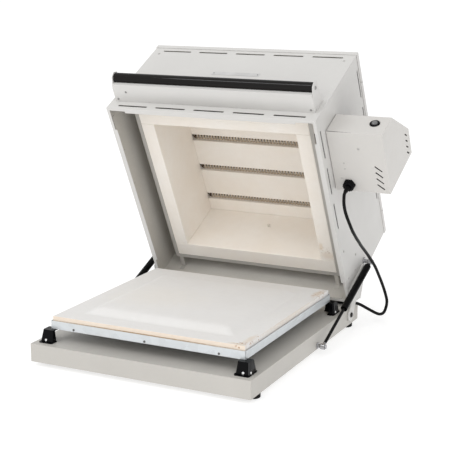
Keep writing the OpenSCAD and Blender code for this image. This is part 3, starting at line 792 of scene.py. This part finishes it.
# galvanised tray: a floor and four walls that are open at the corners
ty0, ty1, tzb, tzt, tq = 46.0, 613.0, 83.5, 106.0, 289.0
bm = bmesh.new()
box_bm(bm, -tq + 1.3, tq - 1.3, ty0 + 1.3, ty1 - 1.3, tzb, tzb + 1.2)
for y in (ty0, ty1 - 1.2):
    box_bm(bm, -tq + 1.0, tq - 1.0, y, y + 1.2, tzb + 0.1, tzt, 0.4)
for x in (-tq, tq - 1.2):
    box_bm(bm, x, x + 1.2, ty0 + 2.2, ty1 - 2.2, tzb + 0.1, tzt, 0.4)
stand(add("tray_sheet", bm, M_ZINC, "base", m=BASE), "floor_tray")
places = []
for x in (-217, 0, 215):
    places.append((frame_at(B(x, ty0, tzb + 5.5), (0, -1, 0)), 3.2, 1.8))
    places.append((frame_at(B(-x, ty1, tzb + 5.5), (0, 1, 0)), 3.2, 1.8))
screws("tray_heads", places, M_DARKHEAD, "base", "tray_screws")


def superring(cx, cy, z, hx, hy, r, n=6):
    out = []
    for sx, sy, a0 in ((1, 1, 0), (-1, 1, 90), (-1, -1, 180), (1, -1, 270)):
        for k in range(n + 1):
            a = radians(a0 + 90 * k / n)
            out.append(B(cx + sx * (hx - r) + r * cos(a), cy + sy * (hy - r) + r * sin(a), z))
    return out


foot_o = crisp("corner_feet", M_FOOT, 0.8, 2)
foot_o.data.materials.append(M_FOOT_HIGHLIGHT)
for f in foot_o.data.polygons:
    # painted highlights: the upright outer corners and the flange rim take a lighter, glossier black
    out = f.normal.x * f.center.x > 0 and f.normal.y * (f.center.y - B(0, 329.5, 0).y) > 0
    if out and 0.5 < abs(f.normal.x) < 0.87 and abs(f.normal.z) < 0.4 and f.center.z > B(0, 0, 54).z:
        f.material_index = 1
    if f.center.z < B(0, 0, 53.1).z and 0.25 < f.normal.z < 0.95:
        f.material_index = 1
places = []
for sx in (-1, 1):
    places.append((frame_at(B(sx * 292, 24 + 3.5 * 8 / 30 - 0.1, 57), (0, -cos(atan(8 / 30)), sin(atan(8 / 30)))), 3.3, 1.6))
    places.append((frame_at(B(sx * 292, 635 - 3.5 * 8 / 30 + 0.1, 57), (0, cos(atan(8 / 30)), sin(atan(8 / 30)))), 3.3, 1.6))
    for y in (34, 605):
        places.append((frame_at(B(sx * (309.5 - 3.5 * 4 / 30 + 0.1), y, 57), (sx * cos(atan(4 / 30)), 0, sin(atan(4 / 30)))), 3.3, 1.6))
screws("foot_heads", places, M_BRIGHT, "base", "corner_foot_screws")

SPECK = (0.36, 0.16, 0.05)
BUFF = (0.66, 0.50, 0.33)
SLAB_MARKS = [
    (tuple(B(262, 57, 118)), (0.036, 0.011, 0.03), BUFF, 0.50),
    (tuple(B(284, 330, 118)), (0.0035, 0.290, 0.03), BUFF, 0.30),
    (tuple(B(274, 100, 118)), (0.014, 0.055, 0.03), BUFF, 0.40),
    (tuple(B(272, 560, 118)), (0.018, 0.055, 0.03), BUFF, 0.45),
    (tuple(B(-100, 300, 118)), (0.22, 0.16, 0.05), (0.82, 0.77, 0.69), 0.30),
]
SLAB_SPECKS = [
    (tuple(B(270, 64, 118)), (0.026, 0.020, 0.03), SPECK, 0.95),
    (tuple(B(288, 80, 118)), (0.010, 0.030, 0.03), SPECK, 0.90),
    (tuple(B(285, 141, 118)), (0.010, 0.024, 0.03), SPECK, 0.95),
    (tuple(B(274, 555, 118)), (0.020, 0.065, 0.03), SPECK, 0.7),
]
M_SLAB = board("hearth_board", (0.795, 0.785, 0.772), (0.780, 0.765, 0.745), SLAB_MARKS, SLAB_SPECKS, grain=0.2)
M_SLAB_EDGE = board("hearth_edge", (0.80, 0.70, 0.595), (0.78, 0.67, 0.56), [
    (tuple(B(0, 50, 106.3)), (0.34, 0.012, 0.0024), (0.46, 0.29, 0.15), 0.85)],
    [(tuple(B(275, 50, 112)), (0.03, 0.01, 0.012), SPECK, 0.9)], grain=0.15)
M_FIBRE = board("fibre_board", (0.92, 0.878, 0.82), (0.90, 0.835, 0.755), [
    (tuple(C(250, 535, 118)), (0.030, 0.080, 0.02), (0.72, 0.58, 0.45), 0.40),
    (tuple(C(232, 505, 122)), (0.010, 0.050, 0.02), (0.74, 0.58, 0.40), 0.45)],
    [(tuple(C(248, 520, 118)), (0.030, 0.085, 0.02), (0.42, 0.28, 0.18), 0.8)], grain=0.3)
slab_o = crisp("hearth_slab", M_SLAB, 1.6, 3)
slab_o.data.materials.append(M_SLAB_EDGE)
for f in slab_o.data.polygons:
    if f.normal.y < -0.5:
        f.material_index = len(slab_o.data.materials) - 1
rows = [superring(0, 325.5, z, 221 + e, 215.5 + e, r, 8) for z, e, r in (
    (118.02, 5.0, 14), (118.4, 2.6, 13), (119.6, -1.5, 12.5), (122, -7.0, 12), (125, -13.0, 12), (128.2, -20.0, 11), (130.2, -26.0, 10), (131.3, -32.0, 9), (131.9, -39.0, 8), (132, -48, 6))]
stand(add("hearth_panel_cast", grid_loft(rows), M_SLAB, "base", sharp=60), "hearth_panel")

# hinge pins: domed head outside, nut inside
bm = bmesh.new()
for s in (-1, 1):
    q = frame_at(B(s * 331, PY, PZ), (s, 0, 0))
    lathe_bm(bm, rounded([(0, -15), (4.9, -15), (4.9, -0.3), (7.5, -0.3), (7.5, 1.6), (6.2, 3.2), (3.4, 3.9), (0, 4.0)], 0.5), q, 32)
    hexagon_bm(bm, frame_at(B(s * 311.6, PY, PZ), (s, 0, 0)), 8, 5.3)
bmesh.ops.recalc_face_normals(bm, faces=bm.faces)
stand(add("hinge_bolts", bm, M_BLACK, "base"), "hinge_pins")

# --------------------------------------------------------------- springs -----
bs, hs = (428, 11), (614, 201)
hso = op(*hs)
SX = 342
for side, s in (("right", 1), ("left", -1)):
    pb, ph = B(s * SX, *bs), B(s * SX, *hso)
    d = (ph - pb).normalized()
    for nm, o0, dd, body in (("rod_socket_", pb, d, "rod_"), ("tube_socket_", ph, -d, "tube_")):
        bm = bmesh.new()
        q = frame_at(o0, (1, 0, 0), dd)
        lathe_bm(bm, [(4.05, -6.5), (7.9, -6.5), (8.5, -5.9), (8.5, 5.9), (7.9, 6.5), (4.05, 6.5), (4.05, -6.5)], q, 40)
        q2 = frame_at(o0, dd, (1, 0, 0))
        lathe_bm(bm, rounded([(5.4, 6.6), (5.4, 13.2), (4.9, 13.8), (0, 13.8)], 0.4), q2, 32)
        bmesh.ops.recalc_face_normals(bm, faces=bm.faces)
        stand(add(nm + side + "_turned", bm, M_STUD, body + side), nm + side)
    lathe("rod_" + side + "_polished", [(0, 14), (4.5, 14), (4.5, 189.4), (3.6, 190), (0, 190)], frame_at(pb, d, (1, 0, 0)), M_ROD, "rod_" + side, 40, 0.3)
    stand(bpy.data.objects["rod_" + side + "_polished"], "spring_rod_" + side)
    prof = [(0, 14), (5.4, 14), (5.4, 17.6), (6.9, 18.2), (9.2, 22.6), (10, 24.5), (10, 226), (9.6, 228.2), (9.95, 229), (9.95, 232.6), (9.2, 234), (8.35, 233.8), (8.3, 60), (0, 58.2)]
    lathe("tube_" + side + "_drawn", prof, frame_at(ph, -d, (1, 0, 0)), M_TUBE, "tube_" + side, 48, 0.5)
    stand(bpy.data.objects["tube_" + side + "_drawn"], "spring_tube_" + side)

for node, body, place, wall in (("base_spring_studs", "base", lambda s: B(s * 325, *bs), 0), ("hood_spring_studs", "hood", lambda s: B(s * 321.5, *hso), 1)):
    bm = bmesh.new()
    for s in (-1, 1):
        q = frame_at(place(s), (s, 0, 0))
        end = SX + 7.2 - (321.5 if wall else 325)
        if wall:
            lathe_bm(bm, rounded([(0, 0), (11, 0), (11, 3.4), (10.4, 4), (6, 4), (6, 12), (4, 12.4), (4, end), (6, end), (6, end + 2.4), (5.6, end + 2.6), (0, end + 2.6)], 0.3), q, 36)
        else:
            hexagon_bm(bm, q, 9.5, 3.2)
            lathe_bm(bm, rounded([(0, 3.1), (6, 3.1), (6, 9), (4, 9.6), (4, end), (6, end), (6, end + 2.4), (5.6, end + 2.6), (0, end + 2.6)], 0.3), q, 36)
    bmesh.ops.recalc_face_normals(bm, faces=bm.faces)
    stand(add(node + "_turned", bm, M_STUD, body), node)

# ------------------------------------------------------------------ hood -----
UNHOOD = HOOD.inverted()


def second(o, mat, test):
    """Gives the faces that pass a test, in the closed hood's frame, a second finish."""
    o.data.materials.append(mat)
    k = len(o.data.materials) - 1
    for f in o.data.polygons:
        c = UNHOOD @ f.center * 1000
        n = (UNHOOD.to_3x3() @ f.normal).normalized()
        if test(c, n):
            f.material_index = k
    return o


def inside_wall(c, n):
    return abs(c.x) < 320.9 and 12.6 < c.y < 651.4 and c.z > 54.6 and not (abs(c.x) > 320.2 and abs(n.x) < 0.5 and abs(n.z) > 0.5)


second(crisp("hood_shell", M_HOOD, 0.7, 3), M_WALL, inside_wall)
# dark sheets behind the ventilation slots, painted shade seen through them: dark outwards, sheet-coloured inwards
bm = bmesh.new()
for s in (-1, 1):
    for n_, z, gap in ((3, 72, 0.6), (4, 374, 4.5)):
        for i in range(n_):
            y = 12 + 88.5 + i * 121.5
            x = s * (320 - gap)
            box_bm(bm, x - 0.25, x + 0.25, y - 49, y + 49, z - 6, z + 6)
for z, gap in ((69.5, 0.6), (369, 4.5)):
    for y in (13.5 + gap, 650.5 - gap):
        for i in range(-2, 3):
            box_bm(bm, i * 121 - 51, i * 121 + 51, y - 0.25, y + 0.25, z - 6, z + 6)
lin = add("slot_shade_sheets", bm, M_SHADE_SHEET, "hood", m=HOOD)
second(lin, M_WALL, lambda c, n: c.z < 200 and ((abs(c.x) > 300 and n.x * c.x < 0) or (abs(c.x) < 300 and n.y * (c.y - 330) < 0)))
crisp("roof_cover", M_HOOD, 0.7, 3)
crisp("hinge_arm_right", M_HOOD, 0.6)
crisp("hinge_arm_left", M_HOOD, 0.6)
for nn in ("front", "rear", "left", "right", "roof"):
    crisp("insulation_" + nn, M_FIBRE, 1.6, 3)
# the grooves behind the elements are darkened as painted shade
M_GROOVE_SHADE = board("groove_painted_shade", (0.40, 0.31, 0.23), (0.35, 0.265, 0.19), grain=0.3)
second(bpy.data.objects["insulation_roof"], M_GROOVE_SHADE, lambda c, n: c.z > 303 and abs(c.x) < 240 and min(abs(c.y - 163.5 - 113 * i) for i in range(4)) < 14)
# the right side of the retaining frame takes the lighter copy of its steel as painted light; the shaded left keeps the
# darker one
second(crisp("retaining_frame", M_INNER, 0.5), M_INNER_LIT, lambda c, n: c.x > 262)
second(crisp("frame_tabs", M_INNER, 0.4), M_WALL, lambda c, n: c.x > 0)
# closing strip between the frame and the right wall, at the front, in the painted-lit copy of the frame's steel
bm = bmesh.new()
box_bm(bm, 278.5, 319.4, 15, 100, 118.6, 119.8, 0.3)
add("frame_side_strip", bm, M_INNER_LIT, "hood", m=HOOD)


def hood_at(x, y, z, n):
    return frame_at(C(x, y, z), dirc(*n), (1, 0, 0) if abs(n[0]) < 0.5 else dirc(0, 1, 0))


places = []
for s in (-1, 1):
    places.append((hood_at(s * 297, 12, 352, (0, -1, 0)), 3.6, 1.8))
    places.append((hood_at(s * 297, 652, 352, (0, 1, 0)), 3.6, 1.8))
    for y, z in ((475, 77), (548, 152), (577, 77), (590, 130)):
        places.append((hood_at(s * 321.5, y, z, (s, 0, 0)), 3.8, 1.9))
    for y in (104, 569):
        places.append((hood_at(s * 323.2, y, 392, (s, 0, 0)), 3.0, 1.7))
screws("hood_heads", places, M_PAINTED, "hood", "hood_screws")

# handle
hy, hz = -49, 118
q = hood_at(0, hy, hz, (1, 0, 0))
lathe("handle_bar", [(12.6, -305.2), (14.3, -305.2), (15, -304.4), (15, 304.4), (14.3, 305.2), (12.6, 305.2), (12.0, 304), (12.0, -304), (12.6, -305.2)], q, M_HANDLE, "hood", 64, 0.3)
stand(bpy.data.objects["handle_bar"], "handle_tube")
# the darker spot along the bracket's fold against the wall is painted shade
M_BRACKET = enamel("enamel_bracket_fold_shaded", (0.655, 0.643, 0.625), 0.44, 0.03, [(tuple(C(0, 12, 91)), (0.50, 0.046, 0.046), (0.45, 0.44, 0.42), 0.75)])
crisp("handle_bracket", M_BRACKET, 0.6)
# folded lip along the bracket's free edge, up to the bar
bm = bmesh.new()
box_bm(bm, -305, 305, -42.9, -41.3, 92.4, 103.9, 0.3)
add("bracket_lip", bm, M_BRACKET, "hood", m=HOOD)
places = []
for s in (-1, 1):
    places.append((hood_at(s * 307.8, hy, hz, (s, 0, 0)), 5.2, 2.6))
    for x, y in ((266, -20), (297, 4)):
        if s < 0 or x > 280:
            places.append((hood_at(s * x, y, 91, (0, 0, -1)), 3.3, 1.8))
screws("handle_heads", places, M_BRACKETHEAD, "hood", "handle_screws")

bm = bmesh.new()
box_bm(bm, -75, 75, 11.1, 12, 252, 268, 0.35)
stand(add("plate_blank", bm, M_PLATE, "hood", m=HOOD), "nameplate")
bm = bmesh.new()
for x in (-69, 69):
    lathe_bm(bm, rounded([(0, 0), (2, 0), (2, 0.3), (1.4, 0.8), (0, 0.9)], 0.2), hood_at(x, 11.1, 260, (0, -1, 0)), 20)
bmesh.ops.recalc_face_normals(bm, faces=bm.faces)
stand(add("plate_rivets", bm, M_DARKHEAD, "hood"), "nameplate_rivets")

# heating elements as wound wire
bm = bmesh.new()
cy0, cyE = 106.0, 555.0
gy0 = (cy0 + cyE) / 2 + 2.5 - 113 * 1.5
for i in range(4):
    y0 = gy0 + i * 113
    z0 = 118.6 + 183 + 11
    pts = []
    pitch, rr, wire = 9.6, 8.0, 1.7
    pts.append(C(-284, y0, z0)); pts.append(C(-250, y0, z0)); pts.append(C(-225.5, y0, z0))
    nturn = int(446 / pitch)
    for k in range(nturn * 12 + 1):
        a = 2 * pi * k / 12
        x = -223 + 446 * k / (nturn * 12)
        g = 0.25 * sin(k * 0.013 + i) + 0.12 * sin(k * 0.071 + 2 * i)
        pts.append(C(x, y0 + g + rr * cos(a), z0 + rr * sin(a)))
    pts.append(C(225.5, y0, z0)); pts.append(C(250, y0, z0)); pts.append(C(284, y0, z0))
    b2 = sweep(pts, wire / 1000, 6, Vector((0, 0, 1)))
    me = bpy.data.meshes.new("w")
    b2.to_mesh(me)
    b2.free()
    bm.from_mesh(me)
    bpy.data.meshes.remove(me)
coils = add("element_coils", bm, [M_WIRE, M_WIRE_DARK], "hood", sharp=80, wn=False)
for f in coils.data.polygons:
    # the leads and the first turns are dark; the rear half of each coil is dark as painted shade from the groove
    if f.center.x < B(-214, 0, 0).x or f.center.x > B(219, 0, 0).x or (UNHOOD @ f.center).z * 1000 > 312.6 - 1.2:
        f.material_index = 1
stand(coils, "heating_elements")

bm = bmesh.new()
for s in (-1, 1):
    for i in range(4):
        q = frame_at(C(s * 266.3, gy0 + i * 113, 118.6 + 183 + 11), (s, 0, 0))
        lathe_bm(bm, [(2.8, 0), (8.6, 0), (9, 0.5), (9, 4.6), (7.2, 5.4), (6.4, 12.4), (5.8, 13), (2.8, 13), (2.8, 0)], q, 28)
bmesh.ops.recalc_face_normals(bm, faces=bm.faces)
stand(add("terminal_bushes", bm, M_CERAMIC, "hood"), "element_terminals")

bm = bmesh.new()
q = hood_at(3, cyE - 8, 244, (0, 1, 0))
lathe_bm(bm, rounded([(0, 0), (2.9, 0), (3.8, 1.2), (3.8, 55), (0, 55)], 0.4), q, 24)
b2 = bmesh.new()
box_bm(b2, -12, 18, 602, 620, 232, 256, 2.0, 3)
b2.transform(HOOD)
me = bpy.data.meshes.new("h")
b2.to_mesh(me)
b2.free()
bm.from_mesh(me)
bmesh.ops.recalc_face_normals(bm, faces=bm.faces)
stand(add("sensor", bm, M_CERAMIC, "hood"), "thermocouple")

# ----------------------------------------------------------- control box -----
crisp("control_box_shell", M_BOX, 0.7, 3)
crisp("control_box_backplate", M_BOX, 0.6)
# dark sheets behind the two sets of vents and a dark strip in the gap of the folded lip on the lower front edge, all
# painted shade
bm = bmesh.new()
box_bm(bm, 441, 472, 180, 262, 104.5, 105.1)
box_bm(bm, 475.6, 476.2, 180, 262, 256, 284)
add("vent_shade_sheets", bm, M_SHADE_SHEET, "hood", m=HOOD)
bm = bmesh.new()
q = [bm.verts.new(Vector(c) / 1000) for c in ((323.6, 75.93, 101.2), (395, 75.93, 101.2), (395, 75.93, 101.45), (323.6, 75.93, 103.6))]
bm.faces.new(q)
r = bmesh.ops.extrude_face_region(bm, geom=list(bm.faces))
for v in [g for g in r["geom"] if isinstance(g, bmesh.types.BMVert)]:
    v.co.y += 0.0004
bmesh.ops.recalc_face_normals(bm, faces=bm.faces)
add("lip_gap_shade", bm, M_SHADE_SHEET, "hood", m=HOOD)
places = []
for x, y, r in ((408, 126, 3.6), (360, 177, 2.3), (360, 196, 2.3), (346, 228, 2.3)):
    places.append((hood_at(x, y, 100, (0, 0, -1)), r, 1.4))
PAN = (402, 132.5, 240.5)
R45 = Matrix.Rotation(radians(45), 4, "X")
PANEL = HOOD @ Matrix.Translation(Vector(PAN) / 1000) @ R45
for a in (-1, 1):
    for b in (-1, 1):
        places.append((PANEL @ Matrix.Translation(Vector((a * 60, b * 53, 2)) / 1000), 2.7, 1.4))
screws("box_heads", places, M_PAINTED, "hood", "box_screws")
crisp("control_panel", M_PANEL, 0.5)
bm = bmesh.new()
box_bm(bm, -36, 36, 10, 40, 2, 3.4, 0.5)
win = add("window", bm, M_WINDOW, "hood", m=PANEL)
stand(win, "display_window")
# figures on the display: the lit bars of a four-figure readout
M_LIT = Mat("digit_lit")
M_LIT.colour(M_LIT.mix(M_LIT.rng(M_LIT.noise(300, 2), 0.3, 0.7, 0, 1), (0.62, 0.05, 0.03), (0.80, 0.09, 0.04)))
M_LIT.s.inputs["Emission Color"].default_value = (0.9, 0.06, 0.03, 1)
M_LIT.s.inputs["Emission Strength"].default_value = 0.6
M_LIT.rough(0.4)
SEG = {"0": "abcdef", "1": "bc", "2": "abged", "3": "abgcd", "4": "fgbc", "5": "afgcd", "6": "afgedc", "7": "abc", "8": "abcdefg", "9": "abcfgd"}
bm = bmesh.new()
for i, ch in enumerate("0520"):
    cx = -24 + i * 16
    cy, w2, h2, t = 25, 4.4, 8.4, 1.5
    bars = {"a": (cx - w2, cx + w2, cy + h2 - t / 2, cy + h2 + t / 2), "d": (cx - w2, cx + w2, cy - h2 - t / 2, cy - h2 + t / 2), "g": (cx - w2, cx + w2, cy - t / 2, cy + t / 2),
            "f": (cx - w2 - t, cx - w2, cy + 0.9, cy + h2 - 0.4), "b": (cx + w2, cx + w2 + t, cy + 0.9, cy + h2 - 0.4), "e": (cx - w2 - t, cx - w2, cy - h2 + 0.4, cy - 0.9), "c": (cx + w2, cx + w2 + t, cy - h2 + 0.4, cy - 0.9)}
    for sgm in SEG[ch]:
        x0, x1, y0, y1 = bars[sgm]
        box_bm(bm, x0, x1, y0, y1, 3.35, 3.5, 0.05)
add("readout", bm, M_LIT.m, "hood", m=PANEL)
lathe("lamp_lens", [(0, 0), (3.2, 0), (3.2, 1.2), (2.6, 2.2), (1.3, 2.55), (0, 2.6)], PANEL @ Matrix.Translation(Vector((50, 25, 2)) / 1000), M_LAMP, "hood", 24, 0.3)
stand(bpy.data.objects["lamp_lens"], "indicator_lamp")
for nm, x, mt in (("key_down", -34, M_KEY), ("key_up", 0, M_KEY), ("key_start", 34, M_KEYG)):
    bm = bmesh.new()
    q = PANEL @ Matrix.Translation(Vector((x, -32, -3)) / 1000)
    lathe_bm(bm, rounded([(0, 0), (9.5, 0), (9.5, 2.2), (8, 2.2), (8, 6.8), (7.2, 7.5), (5.5, 7.3), (3.0, 7.0), (0, 6.9)], 0.4), q, 36)
    bmesh.ops.recalc_face_normals(bm, faces=bm.faces)
    stand(add(nm + "_cap", bm, mt, nm), nm)
# printed guide marks beside the keys, as raised strips
bm = bmesh.new()
for x in (-34, 0, 34):
    box_bm(bm, x - 6, x + 6, -17, -16, 1.98, 2.12, 0.05)
box_bm(bm, -60, 60, 3.2, 3.8, 1.98, 2.12, 0.05)
add("panel_marks", bm, M_KEY, "hood", m=PANEL)

# inside the box
crisp("controller_board", M_PCB, 0.2)
crisp("power_relay", M_RELAY, 1.2, 3)
crisp("terminal_block", M_CERAMIC, 1.0, 3)

# main switch on the box's front
q = hood_at(445, 76, 150, (0, -1, 0))
lathe("switch_bezel", [(9.4, -21), (11.1, -21), (11.1, -0.2), (14.5, -0.2), (14.5, 1.2), (13.2, 3.0), (11.2, 3.2), (9.7, 2.6), (9.4, 1.6), (9.4, -21)], q, M_FOOT, "hood", 48, 0.3)
stand(bpy.data.objects["switch_bezel"], "main_switch_bezel")
lathe("switch_cap", [(0, -5.5), (8.6, -5.5), (8.6, 2.8), (8.0, 4.6), (6.6, 5.7), (4.2, 6.3), (0, 6.5)], q, M_BUTTON, "switch_button", 40, 0.5)
stand(bpy.data.objects["switch_cap"], "main_switch_button")

# gland and tapered strain relief
q = hood_at(GX, GY, 0, (0, 0, 1))
bm = bmesh.new()
hexagon_bm(bm, q @ Matrix.Translation((0, 0, 0.093)), 18.4, 6.9, 1.2)
prof = [(7.2, 83), (11.6, 83), (12.9, 83.8), (14.6, 87), (15.5, 90.6), (15.8, 93.2), (7.2, 93.2)]
lathe_bm(bm, rounded(prof, 0.4), q, 40)
lathe_bm(bm, [(7.2, 99), (12.4, 99), (12.4, 112), (7.2, 112)], q, 36)
hexagon_bm(bm, q @ Matrix.Translation((0, 0, 0.1022)), 17, 5, 0.8)
for k in range(18):
    a = 2 * pi * k / 18
    b2 = bmesh.new()
    box_bm(b2, 14.2, 16.1, -0.9, 0.9, 85.6, 92.6, 0.3)
    b2.transform(q @ Matrix.Rotation(a, 4, "Z"))
    me = bpy.data.meshes.new("r")
    b2.to_mesh(me)
    b2.free()
    bm.from_mesh(me)
    bpy.data.meshes.remove(me)
bmesh.ops.recalc_face_normals(bm, faces=bm.faces)
stand(add("gland_moulded", bm, M_FOOT, "hood"), "cable_gland")
prof = [(0, 106), (7, 106), (7, 83)]
zz = 82.0
while zz > 64.6:
    rr = 5.2 + (zz - 62) / 20 * 1.7
    prof += [(rr, zz), (rr, zz - 1.5), (rr - 0.7, zz - 1.7), (rr - 0.7, zz - 2.5)]
    zz -= 2.7
prof += [(5.2, 63.6), (5.0, 62.1), (0, 62.1)]
bm = bmesh.new()
lathe_bm(bm, prof, q, 32)
bmesh.ops.recalc_face_normals(bm, faces=bm.faces)
stand(add("relief_moulded", bm, M_RUBBER, "hood"), "strain_relief")

# ------------------------------------------------------------- stage ---------
fm = Mat("floor_pale", spec=0.0)
fm.colour(fm.mix(fm.rng(fm.noise(2.0, 3), 0.3, 0.7, 0, 1), (0.49, 0.49, 0.49), (0.51, 0.51, 0.51)))
fm.rough(0.95)
fm.s.inputs["Emission Color"].default_value = (1, 1, 1, 1)
fm.s.inputs["Emission Strength"].default_value = 0.64
bm = bmesh.new()
bmesh.ops.create_grid(bm, x_segments=2, y_segments=2, size=400)
floor = add("floor", bm, fm.m, None, m=Matrix.Translation((0, 0, -0.0003)), wn=False)

world = bpy.data.worlds.new("studio")
bpy.context.scene.world = world
world.use_nodes = True
wt = world.node_tree
bg = wt.nodes["Background"]
bg.inputs["Color"].default_value = (1, 1, 1, 1)
# a soft box of light, a little brighter from the front and dimmer from the right rear
wc = wt.nodes.new("ShaderNodeTexCoord")


def world_side(direction, lo, hi, a, b):
    d = wt.nodes.new("ShaderNodeVectorMath")
    d.operation = "DOT_PRODUCT"
    d.inputs[1].default_value = direction
    wt.links.new(wc.outputs["Generated"], d.inputs[0])
    r = wt.nodes.new("ShaderNodeMapRange")
    r.interpolation_type = "SMOOTHSTEP"
    for i, v in zip(("From Min", "From Max", "To Min", "To Max"), (lo, hi, a, b)):
        r.inputs[i].default_value = v
    wt.links.new(d.outputs["Value"], r.inputs["Value"])
    return r.outputs["Result"]


wm = wt.nodes.new("ShaderNodeMath")
wm.operation = "MULTIPLY"
wt.links.new(world_side((0.55, 0.83, 0.0), 0.0, 0.95, 0.94, 0.52), wm.inputs[0])
wt.links.new(world_side((0.25, -0.97, 0.0), 0.1, 1.0, 1.0, 1.35), wm.inputs[1])
wt.links.new(wm.outputs[0], bg.inputs["Strength"])


def light(name, loc, target, size, power, col=(1, 1, 1)):
    d = bpy.data.lights.new(name, "AREA")
    d.shape = "RECTANGLE"
    d.size, d.size_y = size
    d.energy = power
    d.color = col
    o = bpy.data.objects.new(name, d)
    bpy.context.scene.collection.objects.link(o)
    o.matrix_world = frame_at(loc, Vector(loc) - Vector(target))
    return o


light("key", (-1.6, -2.3, 3.4), (0, 0, 0.3), (0.9, 0.7), 16, (0.95, 0.98, 1.0))
light("rim", (2.6, -2.6, 2.6), (0, 0, 0.3), (0.5, 0.5), 9)
bpy.context.scene.view_settings.view_transform = "Standard"

bpy.context.view_layer.update()
